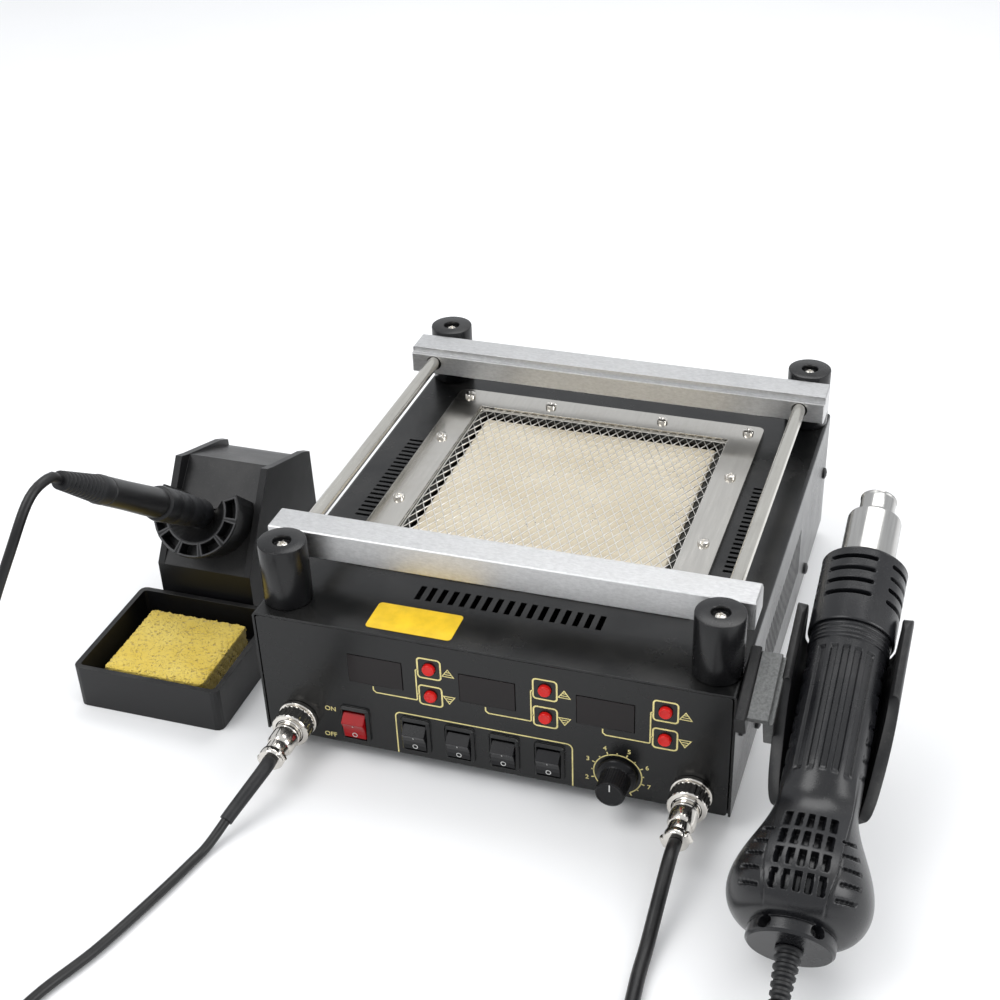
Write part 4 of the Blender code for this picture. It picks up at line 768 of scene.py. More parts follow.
def iron_cord_paths():
    """The part that follows the iron, and the part from the panel through the coil."""
    d = sizes().iron_cord
    floor = d / 2 + GAP
    end = iron_frame() @ Vector((0, 0, IRON_RELIEF_END + GAP))
    straight = iron_frame() @ Vector((0, 0, IRON_RELIEF_END + 0.009))
    centre, radius = IRON_COIL
    out_x = centre.x - radius - 0.5 * d * LANE_SPREAD
    reach = centre.y + 0.040
    x, y, z = end
    lead = [(out_x + 0.0010, reach, floor), (x - 0.020, y - 0.186, floor),
            (x - 0.034, y - 0.160, floor), (x - 0.0435, y - 0.125, floor),
            (x - 0.0447, y - 0.098, 0.0075), (x - 0.042, y - 0.078, 0.028),
            (x - 0.032, y - 0.064, z - 0.100), (x - 0.018, y - 0.052, z - 0.052),
            (x - 0.006, y - 0.038, z - 0.016), (x - 0.002, y - 0.022, z + 0.0028), straight, end]
    x = CASE_X - SOCKET_X
    z = CASE_FOOT + SOCKET_Z
    run = [(x, CASE_FRONT - PLUG_REACH, z), (x, CASE_FRONT - 0.044, z),
           (x - 0.0075, CASE_FRONT - 0.068, 0.0105), (x - 0.0135, CASE_FRONT - 0.090, floor),
           (x - 0.0205, CASE_FRONT - 0.120, floor), (x - 0.0315, CASE_FRONT - 0.160, floor),
           (x - 0.0445, CASE_FRONT - 0.195, floor), (centre.x + radius, centre.y + 0.025, floor)]
    turns = coil_turns(centre, radius, d, 0, -1)
    leave = [(out_x, centre.y + 0.010, floor + d), (out_x + 0.0002, centre.y + 0.019, floor + 0.85 * d),
             (out_x + 0.0006, centre.y + 0.028, floor + 0.25 * d), (out_x + 0.0010, reach, floor)]
    return cut_in_two([*run, *turns[1:], *leave[:-1], *lead], lead[0], 0.0035)


def coil_tie(centre, radius, cord, angle):
    """A flat band closed round the coil's section: a rounded square loop carried across its width."""
    half, band, width = cord + 0.0006, 0.0006, 0.0040
    outer = rounded((radius - half, 0.00002), (radius + half, 2 * cord + GAP + band), 0.0022, 5)
    inner = rounded((radius - half + band, 0.00022), (radius + half - band, 2 * cord + GAP + 0.0001),
                    0.0018, 5)
    rings = [np.column_stack([edge[:, 0], np.full(len(edge), side), edge[:, 1]])
             for edge, side in ((outer, -width / 2), (outer, width / 2), (inner, width / 2),
                                (inner, -width / 2))]
    place = Matrix.Translation((centre.x, centre.y, 0)) @ Matrix.Rotation(angle, 4, "Z")
    return placed(woven(np.stack(rings), wrap_rows=True, wrap_columns=True), place)


class STATION_OT_cords(bpy.types.Operator):
    """Both tool cords from plug to tool, each with its spare length in a tied coil"""
    bl_idname = "station.cords"
    bl_label = "Cords"

    def execute(self, context):
        for tool, paths, cord, coil, tie_at, nodes, plug in (
                ("gun", gun_cord_paths(), sizes().gun_cord, GUN_COIL, radians(250),
                 ("gun_cord", "gun_cord_end", "gun_cord_coil"), "plug_right"),
                ("iron", iron_cord_paths(), sizes().iron_cord, IRON_COIL, radians(290),
                 ("iron_cord", "iron_cord_end", "iron_cord_coil"), "plug_left")):
            lead, run = paths
            tie = piece(f"{tool}_coil_tie", coil_tie(*coil, cord, tie_at), "soft_rubber", "station")
            plug_piece = panel_plug(plug, -1 if tool == "iron" else 1, cord / 2)
            if tool == "iron":
                sleeve = swept(run[:12], np.linspace(0.0037, 0.0034, 12), 24)
                piece("iron_plug_boot", sleeve, "soft_rubber", "station")
            held = piece(f"{tool}_cord_run", swept(run, cord / 2), "cord_jacket", "station",
                         nodes[1:])
            free = piece(f"{tool}_cord_lead", swept(lead, cord / 2), "cord_jacket", "station",
                         nodes[:1], ride=False)
            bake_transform(free)
        return {"FINISHED"}


def panel_plug(name, side, boot):
    """Nickel cable plug: knurled coupling ring, barrel with a step, saddle clamp and two screws."""
    ring_out, barrel_out, out = 0.013, 0.026, 0.037
    a = np.linspace(0, 2 * pi, 96, endpoint=False)
    knurl = 0.00022 * np.sign(np.sin(24 * a))
    heights = np.array([0.0033, 0.0036, 0.0044, 0.0045, 0.0118, 0.0119, 0.0126, ring_out])
    radii = np.array([0.0087, 0.0098, 0.0101, 0.0100, 0.0100, 0.0101, 0.0098, 0.0078])
    ridged = np.array([0, 0, 0, 1, 1, 0, 0, 0])
    r = radii[:, None] + ridged[:, None] * knurl[None]
    barrel = turned([(0.0087, 0.0033), (0.0087, 0.0093), (0.0078, ring_out - 0.0006), (0.0070, 0.0134),
                     (0.0070, 0.0165), (0.0067, 0.0168), (0.0067, 0.0176), (0.0070, 0.0179),
                     (0.0070, barrel_out - 0.0016), (0.0062, barrel_out), (0, barrel_out)])
    clamp = [turned([(0, barrel_out - 0.001), (0.0058, barrel_out - 0.001), (0.0058, 0.0315),
                     (0.0052, 0.0328), (boot + 0.0004, 0.0330), (0, 0.0330)]),
             turned([(0, 0.0318), (0.0062, 0.0320), (0.0066, 0.0326), (0.0066, out - 0.0016),
                     (0.0060, out - 0.0006), (boot + 0.0003, out - GAP), (0, out - GAP)])]
    for k in (-1, 1):
        ear = block((k * 0.0050 - 0.0022, -0.0024, 0.0322),
                    (k * 0.0050 + 0.0022, 0.0024, 0.0362), 0.0005)
        head = placed(turned([(0, 0.0030), (0.0012, 0.0030), (0.0018, 0.0024), (0.0018, -0.0026),
                              (0, -0.0026)], 20),
                      Matrix.Translation((k * 0.0062, 0, 0.0342)) @ Matrix.Rotation(-pi / 2, 4, "X"))
        clamp += [ear, head]
    shape = together([woven(rings(r, heights, a), wrap_columns=True), barrel, *clamp])
    place = facing_front(side * SOCKET_X, SOCKET_Z) @ Matrix.Rotation(radians(24), 4, "Z")
    return piece(name.replace("plug", "cable_plug"), placed(shape, place), "nickel", "station", (name,))


# Small fasteners
def pan_head(radius, height, slot=0.0009):
    """A domed screw head, radius eased over height, cut across by a slot as a lower chord."""
    a = np.linspace(0, 2 * pi, 32, endpoint=False)
    share = np.array([1.0, 1.0, 0.93, 0.78, 0.55, 0.28, 0.0])
    level = np.array([0.0, 0.45, 0.78, 0.93, 0.99, 1.0, 1.0]) * height
    x = radius * np.outer(share, np.cos(a))
    y = radius * np.outer(share, np.sin(a))
    z = np.repeat(level[:, None], len(a), 1)
    dip = np.where(np.abs(y) < slot / 2, 0.45 * height, 0.0) * (share[:, None] < 0.95)
    return woven(np.stack([x, y, np.maximum(z - dip, 0.0)], -1), wrap_columns=True)


def cross_head(radius, height):
    """A domed head with a cross recess: depth where either of two chords is near."""
    share = np.linspace(0, 1, 12)
    a = np.linspace(0, 2 * pi, 48, endpoint=False)
    x = radius * np.outer(share, np.cos(a))
    y = radius * np.outer(share, np.sin(a))
    dome = height * np.sqrt(np.clip(1 - 0.75 * share ** 2, 0, 1))[:, None] + 0 * a[None]
    inside = (np.minimum(np.abs(x), np.abs(y)) < radius * 0.13) & (np.hypot(x, y) < radius * 0.58)
    z = dome - inside * height * 0.6
    top = np.stack([x, y, z], -1)
    rim = np.stack([x[-1], y[-1], np.zeros_like(a)], -1)[None]
    return woven(np.concatenate([top, rim, rim * (0, 0, 1)]), wrap_columns=True)


class STATION_OT_case(bpy.types.Operator):
    """Painted case: finishes on its CAD sheets, side screws, feet and the blank plate"""
    bl_idname = "station.case"
    bl_label = "Case"

    def execute(self, context):
        dress("case_paint", "base_pan", "top_cover", "front_panel")
        dress("moulded_plastic", "mains_inlet")
        screws = []
        for side in (-1, 1):
            for y, z in ((0.068, 0.006), (0.215, 0.006), (0.017, 0.043), (0.270, 0.040)):
                place = Matrix.Translation(case_point(side * (SIDE_X + 0.00005), y, z))
                turn = Matrix.Rotation(side * pi / 2, 4, "Y") @ Matrix.Rotation(y * 9, 4, "Z")
                screws.append(placed(cross_head(0.0034, 0.0021), place @ turn))
        for x in (-0.100, -0.035, 0.035, 0.100):
            place = Matrix.Translation(case_point(x, COVER_HIGH.y - CASE_FRONT + 0.00005, 0.070))
            screws.append(placed(cross_head(0.0030, 0.0018), place @ Matrix.Rotation(-pi / 2, 4, "X")))
        piece("case_screws", together(screws), "black_screw", "station")
        for name in ("foot_front_left", "foot_front_right", "foot_rear_left", "foot_rear_right"):
            low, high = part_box(name)
            r, top = (high.x - low.x) / 2, high.z
            profile = [(0, top), (r - 0.0004, top), (r, top - 0.0004), (r - 0.0003, 0.0040),
                       (r - 0.0006, 0.0016), (r - 0.0022, 0.0001), (0.0030, 0.0), (0.0026, 0.0020),
                       (0, 0.0020)]
            middle = above_middle(low, high)
            piece("rubber_" + name, placed(turned(profile, 40), middle), "soft_rubber", "station",
                  (name,))
        low, high = (-0.065, 0.0043), (-0.0194, 0.0257)
        sticker = placed(plate(rounded(low, high, 0.0022, 8), 0.00025),
                         Matrix.Translation(case_point(0, 0, CASE_TOP - CASE_FOOT + 0.00002)))
        piece("blank_plate", sticker, "yellow_plate", "station")
        return {"FINISHED"}


class STATION_OT_panel_print(bpy.types.Operator):
    """Generic printed lines, arrows, dial numbers and switch words on the front panel"""
    bl_idname = "station.panel_print"
    bl_label = "Panel print"

    def execute(self, context):
        line, thick = sizes().print_line, 0.00006
        shapes = []
        for x in BUTTON_XS:
            for k, z in enumerate(BUTTON_ZS):
                shapes.append(ribbon(rounded((x - BUTTON_FRAME, z - BUTTON_FRAME),
                                             (x + BUTTON_FRAME, z + BUTTON_FRAME), 0.0018),
                                     line, thick, closed=True))
                up = 1 if k == 0 else -1
                middle = (x + 0.0099, z - 0.0007)
                base = middle[1] - up * 0.0022
                shapes.append(ribbon([(middle[0] - 0.0030, base), (middle[0] + 0.0030, base),
                                      (middle[0], base + up * 0.0044)], line * 0.6, thick, closed=True))
                for level in (0.30, 0.62):
                    wide = 0.0024 * (1 - level)
                    z_line = middle[1] - up * 0.0022 + up * 0.0044 * level
                    shapes.append(ribbon([(middle[0] - wide, z_line), (middle[0] + wide, z_line)],
                                         line * 0.55, thick))
            left, low, high = x - BUTTON_FRAME, BUTTON_ZS[1], BUTTON_ZS[0]
            lead = [(x - 0.0313, low - 0.0006), (x - 0.0313, low - 0.0030), (x - 0.0298, low - 0.0043),
                    (x - 0.0079, low - 0.0042), (x - 0.0074, low - 0.0037), (x - 0.0073, high - 0.0022),
                    (x - 0.0066, high - 0.0016), (left, high - 0.0016)]
            shapes.append(ribbon(lead, line * 0.8, thick))
            shapes.append(ribbon([(x - 0.0073, low), (left, low)], line * 0.8, thick))
        outline = np.vstack([[(0.0441, 0.0006)], arc((0.0411, 0.0248), 0.0030, 0, pi / 2, 6),
                             arc((-0.0473, 0.0248), 0.0030, pi / 2, pi, 6), [(-0.0503, 0.0006)]])
        shapes.append(ribbon(outline, line * 0.8, thick))
        x, z = KNOB_AT
        shapes.append(ribbon(arc((x, z), DIAL_LINE, radians(-58), radians(238), 60), line * 0.7, thick))
        for k in range(1, 9):
            angle = radians(199.5) - DIAL_STEP * (k - 2)
            for step, reach in ((0, 0.0144), (0.5, 0.0136)):
                if k == 8 and step:
                    continue
                a = angle - step * DIAL_STEP
                shapes.append(ribbon([(x + DIAL_LINE * cos(a), z + DIAL_LINE * sin(a)),
                                      (x + reach * cos(a), z + reach * sin(a))], line * 0.7, thick))
            where = (x + 0.0168 * cos(angle), z + 0.0168 * sin(angle), thick / 2)
            if where[1] > 0.002:
                shapes.append(placed(lettering(str(k), 0.0038, thick), Matrix.Translation(where)))
        for word, x, z in (("ON", -0.0869, 0.0214), ("OFF", -0.0883, 0.0039)):
            shapes.append(placed(lettering(word, 0.0040, thick),
                                 Matrix.Translation((x, z, thick / 2))))
        shape = placed(together(shapes), facing_front(0, 0, -0.00002))
        piece("panel_print", shape, "panel_ink", "station", sharp=radians(20))
        return {"FINISHED"}


class STATION_OT_switches(bpy.types.Operator):
    """Rocker caps with their marks, display filters, push buttons and the knob"""
    bl_idname = "station.switches"
    bl_label = "Switches"

    def execute(self, context):
        tilt = Matrix.Rotation(ROCKER_TILT, 4, "X")
        face = Matrix.Rotation(pi / 2, 4, "X")
        lean = Matrix.Rotation(ROCKER_LEAN, 4, "X")
        for name, x in zip(ROCKER_NAMES, ROCKER_XS):
            dress("red_rocker" if name == "rocker_power" else "switch_plastic", name)
            pivot = Matrix.Translation(case_point(x, 0.004, ROCKER_Z)) @ tilt
            ring = placed(ribbon(arc((0, 0), 0.00125, 0, 2 * pi, 25)[:-1], 0.0004, 0.00008,
                                 closed=True),
                          Matrix.Translation((0, -0.00825, -0.0036)) @ lean.inverted() @ face)
            stroke = placed(ribbon([(0, -0.0008), (0, 0.0008)], 0.0004, 0.00008),
                            Matrix.Translation((0, -0.00825, 0.0036)) @ lean @ face)
            piece(name + "_marks", placed(together([ring, stroke]), pivot), "white_ink", name + "_body")
        dress("display_filter", "display_iron", "display_air", "display_heater")
        for column, x in zip(("iron", "air", "heater"), BUTTON_XS):
            for row, z in zip(("up", "down"), BUTTON_ZS):
                name = f"button_{column}_{row}"
                cap = [(0, 0.0019), (0.0017, 0.00195), (0.0023, 0.0021), (0.0026, 0.0022),
                       (0.00295, 0.0020), (0.0032, 0.0016), (0.00325, 0.0012), (0.00325, -0.0023),
                       (0.00455, -0.0023), (0.00455, -0.0035), (0.0015, -0.0035), (0.0015, -0.0063),
                       (0, -0.0063)]
                piece("red_" + name, placed(turned(cap, 48), facing_front(x, z)), "red_button",
                      name + "_body", (name,))
        self.knob()
        return {"FINISHED"}

    def knob(self):
        """Fluted knob: radius = body radius less a small cosine ripple on its grip."""
        heights = np.array([GAP, 0.0012, 0.0022, 0.0027, 0.0032, 0.0040, 0.0046, 0.0150, 0.0156, 0.0160,
                            0.0160, 0.0157, 0.0157])
        radii = np.array([0.0105, 0.0105, 0.0104, 0.0101, 0.0094, 0.0082, 0.0079, 0.00765, 0.0074,
                          0.0068, 0.0062, 0.0060, 0.0])
        flute = np.array([0, 0, 0, 0, 0, 0, 1, 1, 0.5, 0, 0, 0, 0]) * 0.00022
        a = np.linspace(0, 2 * pi, 144, endpoint=False)
        r = radii[:, None] - flute[:, None] * (0.5 + 0.5 * np.cos(36 * a))[None]
        shaft = turned([(0.0105, GAP), (0.0030, GAP), (0.0030, -0.0060), (0, -0.0060)], 144)
        shape = together([woven(rings(r, heights, a), wrap_columns=True), shaft])
        place = facing_front(*KNOB_AT)
        piece("control_knob", placed(shape, place), "switch_plastic", "knob_body", ("knob",))
        mark = placed(block((-0.0003, 0.0022, 0.0155), (0.0003, 0.0066, 0.01603)), place)
        piece("knob_mark", mark, "white_ink", "knob_body")


class STATION_OT_sockets(bpy.types.Operator):
    """Panel connectors and the mains inlet's blades"""
    bl_idname = "station.sockets"
    bl_label = "Connectors"

    def execute(self, context):
        profile = [(0, 0.004), (0.0066, 0.004), (0.0066, 0.0088), (0.0068, 0.0090), (0.0082, 0.0090),
                   (0.0084, 0.0088), (0.0084, 0.0032), (0.0092, 0.0030), (0.0100, 0.0030),
                   (0.0106, 0.0026), (0.0106, GAP), (0.0080, GAP), (0.0080, -0.0130), (0, -0.0130)]
        for side, name in ((-1, "left"), (1, "right")):
            place = facing_front(side * SOCKET_X, SOCKET_Z)
            piece("panel_socket_" + name, placed(turned(profile), place), "nickel", "station",
                  ("socket_" + name,))
        low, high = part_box("mains_inlet")
        middle = Vector(((low.x + high.x) / 2, 0, (low.z + high.z) / 2))
        blades = [block((middle.x + x - 0.001, high.y - 0.0135, middle.z + z - 0.002),
                        (middle.x + x + 0.001, high.y - 0.0050, middle.z + z + 0.002))
                  for x, z in ((-0.007, -0.002), (0.007, -0.002), (0.0, 0.002))]
        piece("inlet_blades", together(blades), "nickel", "station")
        return {"FINISHED"}


class STATION_OT_heater(bpy.types.Operator):
    """Heater: brushed frame with slotted screws, expanded metal guard, tile and tray"""
    bl_idname = "station.heater"
    bl_label = "Heater"

    def execute(self, context):
        dress("frame_metal", "heater_frame")
        dress("tray_metal", "heater_tray")
        dress("heater_ceramic", "heater_tile")
        low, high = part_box("heater_frame")
        middle = (low + high) / 2
        half, inner = 0.0865, 0.03475
        spots = []
        for sign in (-1, 1):
            for along in (-half, -inner, inner, half):
                spots.append((along, sign * half))
                if abs(along) < half:
                    spots.append((sign * half, along))
        screws = []
        for k, (x, y) in enumerate(spots):
            place = Matrix.Translation((middle.x + x, middle.y + y, high.z + 0.00002))
            screws.append(placed(pan_head(0.00325, 0.0022), place @ Matrix.Rotation(k * 1.37, 4, "Z")))
        piece("heater_screws", together(screws), "nickel", "station")
        piece("expanded_guard", self.guard(), "wire_metal", "station", ("guard_grid",))
        return {"FINISHED"}

    def guard(self):
        """Diamond cells on a staggered lattice. Each cell is a ring between its pitch diamond and
        the same diamond drawn in by the strand's width, with walls down to the lower face."""
        low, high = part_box("guard_grid")
        border = 0.0004
        wide = high.x - low.x - 2 * border
        deep = high.y - low.y - 2 * border
        columns = round(wide / sizes().mesh_short)
        rows = round(deep / sizes().mesh_long)
        step = np.array([wide / columns, deep / rows])
        start = np.array([low.x + border, low.y + border])
        even = np.array([(c + 0.5, r + 0.5) for r in range(rows) for c in range(columns)])
        odd = np.array([(c + 1.0, r + 1.0) for r in range(rows - 1) for c in range(columns - 1)])
        middles = start + np.vstack([even, odd]) * step
        shrink = 1 - sizes().mesh_wire * sqrt((1 / step[0]) ** 2 + (1 / step[1]) ** 2)
        diamond = np.array([(1, 0), (0, 1), (-1, 0), (0, -1)]) * step / 2
        top, bottom = high.z - 0.0002, high.z - 0.0007
        lift = np.array([0.0, 0.0002, 0.0, 0.0002])
        rings = []
        for share, level in ((1.0, top), (shrink, top), (shrink * 0.97, bottom), (1.0, bottom)):
            corners = middles[:, None] + diamond[None] * share
            z = level + np.broadcast_to(lift, corners.shape[:2])
            rings.append(np.concatenate([corners, z[..., None]], -1))
        cells = np.stack(rings, 1)
        shapes = [woven(cell, wrap_rows=True, wrap_columns=True) for cell in cells]
        edge = plate_ring((low.x, low.y), (high.x, high.y), border + 0.0003, bottom, top)
        return together([*shapes, edge])


def plate_ring(low, high, width, bottom, top):
    """A square frame of even width: an outer and an inner outline joined above and below."""
    outer = rounded(low, high, 0.0006, 3)
    inner = rounded((low[0] + width, low[1] + width), (high[0] - width, high[1] - width), 0.0006, 3)
    rings = [np.column_stack([edge, np.full(len(edge), z)])
             for edge, z in ((outer, bottom), (outer, top), (inner, top), (inner, bottom))]
    return woven(np.stack(rings), wrap_rows=True, wrap_columns=True)


class STATION_OT_board_holder(bpy.types.Operator):
    """Posts with sunk screws, rods and the two sliding bars"""
    bl_idname = "station.board_holder"
    bl_label = "Board holder"

    def execute(self, context):
        dress("bar_metal", "bar_front", "bar_rear")
        heads = []
        for end in ("front", "rear"):
            for side in ("left", "right"):
                name = f"post_{end}_{side}"
                low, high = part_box(name)
                r, top = (high.x - low.x) / 2, high.z
                profile = [(0, top - 0.0030), (0.00475, top - 0.0030), (0.00475, top - 0.0004),
                           (0.0051, top), (r - 0.0008, top), (r - 0.0002, top - 0.0003),
                           (r, top - 0.0009), (r, low.z + 0.0006), (r - 0.0004, low.z), (0, low.z)]
                middle = above_middle(low, high)
                piece("turned_" + name, placed(turned(profile, 72), middle), "post_plastic", "station",
                      (name,))
                place = middle @ Matrix.Translation((0, 0, top - 0.00298))
                heads.append(placed(cross_head(0.0030, 0.0016), place @ Matrix.Rotation(low.y, 4, "Z")))
        piece("post_screws", together(heads), "nickel", "station")
        for side in ("left", "right"):
            low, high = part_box("rod_" + side)
            r, long = (high.x - low.x) / 2, high.y - low.y
            profile = [(0, long), (r - 0.0004, long), (r, long - 0.0004), (r, 0.0004),
                       (r - 0.0004, 0), (0, 0)]
            place = (Matrix.Translation(((low.x + high.x) / 2, low.y, (low.z + high.z) / 2))
                     @ Matrix.Rotation(-pi / 2, 4, "X"))
            piece("ground_rod_" + side, placed(turned(profile), place), "rod_metal", "station",
                  ("rod_" + side,))
        return {"FINISHED"}


# Hot-air gun
def ease(value):
    """Smooth step from 0 to 1."""
    t = np.clip(value, 0, 1)
    return t * t * (3 - 2 * t)


def within(value, middle, half, soft):
    """1 inside middle +/- half, easing to 0 over the soft distance outside."""
    return ease((half + soft - np.abs(value - middle)) / soft)


def round_gun(r, a, s):
    """Points at angle a from the gun's top and station s along its axis."""
    return np.stack([r * np.sin(a), -r * np.cos(a), np.broadcast_to(s, r.shape)], -1)


def gun_outline(s):
    """Radius of the gun's shell along its axis: end flange, bulb, neck, handle and collar."""
    flange, waist, bulb, handle = 0.0199, 0.0193, 0.0324, 0.0186
    low = waist + (bulb - waist) * np.sqrt(np.clip(1 - ((0.024 - s) / 0.0165) ** 2, 0, 1))
    fall = handle + (bulb - handle) * (1 - ease((s - 0.024) / 0.046))
    r = np.where(s < 0.0075, flange - (flange - waist) * ease((s - 0.0062) / 0.0012),
                 np.where(s < 0.024, low, fall))
    r = r - 0.0012 * ease((0.0014 - s) / 0.0014)
    collar = ease((s - 0.1488) / 0.0005) * 0.0009
    grooves = sum(within(s, 0.1555 - 0.0024 * k, 0.0003, 0.0004) for k in range(3)) * 0.0006
    return r + collar - grooves


class STATION_OT_gun(bpy.types.Operator):
    """Hot-air gun: vented shell, slotted guard, steel tube, cord sleeve"""
    bl_idname = "station.gun"
    bl_label = "Hot-air gun"

    def execute(self, context):
        place = gun_frame()
        piece("vented_gun_shell", placed(self.shell(), place), "gun_plastic", "gun", ("gun_shell",),
              sharp=radians(50))
        piece("slotted_gun_guard", placed(self.guard(), place), "gun_plastic", "gun", ("gun_guard",),
              sharp=radians(50))
        low = 0.158
        tube = [(0, low), (0.0135, low), (0.0135, 0.2290), (0.0132, 0.2300), (0.0122, 0.2308),
                (0.0100, 0.2318), (0.0092, 0.2326), (0.0089, 0.2336), (0.0089, 0.2420),
                (0.0092, 0.2424), (0.0092, 0.2432), (0.0089, 0.2435), (0.0080, 0.2435),
                (0.0077, 0.2430), (0.0077, 0.2300), (0, 0.2300)]
        piece("steel_nozzle", placed(turned(tube), place), "nozzle_metal", "gun", ("gun_nozzle",))
        piece("gun_cord_sleeve", placed(ribbed_sleeve(-GAP, GUN_RELIEF_END, 0.0062, 0.0044, 6), place),
              "soft_rubber", "gun", ("gun_relief",))
        return {"FINISHED"}

    def shell(self):
        """Radius by station s and angle a from the top. A strip down the middle is flattened and
        stands proud; vents, grooves, louvres and wells are eased dips in the radius."""
        s = np.concatenate([np.linspace(0, 0.010, 26), np.linspace(0.010, 0.0605, 104)[1:],
                            np.linspace(0.0605, 0.1485, 76)[1:], np.linspace(0.1485, 0.1577, 34)[1:]])
        fine = np.linspace(-radians(104), radians(104), 261)
        back = np.linspace(radians(104), radians(256), 50)[1:-1]
        a = np.concatenate([fine, back])
        s, a = s[:, None], a[None]
        r = gun_outline(s) + 0 * a
        x = r * np.sin(a)
        on_top = np.cos(a) > 0
        bulb = ease((0.086 - s) / 0.03) * ease((s - 0.007) / 0.006)
        strip = 0.0152 - 0.0030 * ease((0.030 - s) / 0.022)
        chord = np.sqrt(np.clip(gun_outline(s) ** 2 - strip ** 2, 1e-8, None))
        flat = within(x, 0, strip, 0.0010) * on_top
        wanted = 0.45 * chord + 0.55 * r * np.cos(a) + 0.0009
        level = np.where(on_top, wanted / np.maximum(np.cos(a), 0.2), r)
        r = r + (level - r) * flat * bulb
        seam = within(np.abs(x), strip + 0.0011, 0.0002, 0.0005) * on_top * bulb
        r = r - 0.0005 * seam
        depth = 0 * r
        for row in range(4):
            for column in range(5):
                hole = within(x, (column - 2) * 0.0052, 0.0012, 0.00035) * within(
                    s, 0.0189 + row * 0.0108, 0.0037, 0.0004)
                depth = np.maximum(depth, 0.0042 * hole * on_top)
        for k in range(5):
            groove = within(x, (k - 2) * 0.0058, 0.0013, 0.0006) * within(s, 0.1120, 0.0320, 0.0010)
            depth = np.maximum(depth, 0.0015 * groove * on_top)
        for side in (-1, 1):
            across = side * a
            for k in range(7):
                lean = s - 0.0849 - k * 0.0088 - (across - radians(78)) * 0.0045
                slit = np.clip(1 - np.abs(lean) / 0.0013, 0, 1) * within(
                    across, radians(80), radians(15), 0.08)
                depth = np.maximum(depth, 0.0013 * slit)
            for k in range(5):
                lean = s - 0.0170 - k * 0.0070 - (across - radians(42)) * 0.0060
                gill = np.clip(1 - np.abs(lean) / 0.0012, 0, 1) * within(
                    across, radians(43), radians(8), 0.06)
                depth = np.maximum(depth, 0.0022 * gill * (lean < 0.0009))
            well = np.hypot(x - side * 0.0115, s - 0.0042)
            depth = np.maximum(depth, 0.0052 * ease((0.0029 - well) / 0.0004) * on_top)
        r = r - depth
        grid = round_gun(r, a, s)
        first, last = grid[:1] * (0, 0, 1), grid[-1:] * (0, 0, 1)
        inset = grid[:1] * (0.93, 0.93, 1)
        return woven(np.concatenate([first, inset, grid, last]), wrap_columns=True)

    def guard(self):
        """A cup round the hot tube: radius dips through its wall where the curved slots are."""
        r0, low, high = 0.021, 0.158, 0.200
        s = np.linspace(low, high, 150)[:, None]
        a = np.linspace(0, 2 * pi, 360, endpoint=False)[None]
        r = (r0 - 0.0012 * ease((s - high + 0.0012) / 0.0012)
             - 0.0003 * ease((low + 0.0006 - s) / 0.0006))
        r = r + 0.0004 * within(s, 0.1995, 0.0004, 0.0003) + 0 * a
        turn = (a + radians(60)) % radians(90) - radians(45)
        depth = 0 * r
        for place in (0.1735, 0.1805, 0.1873, 0.1940):
            reach = np.clip(1 - ((s - place) / 0.0013) ** 2, 0, 1)
            half = radians(29) + radians(4) * np.sqrt(reach)
            slot = within(s, place, 0.0008, 0.0004) * within(turn, 0, half, radians(1.2))
            depth = np.maximum(depth, 0.0050 * slot)
        r = r - depth
        grid = round_gun(r, a, s)
        rim = round_gun(0.0146 + 0 * a, a, high)
        sunk = rim - (0, 0, 0.0030)
        return woven(np.concatenate([grid[:1] * (0, 0, 1), grid, rim, sunk, sunk * (0, 0, 1)]),
                     wrap_columns=True)


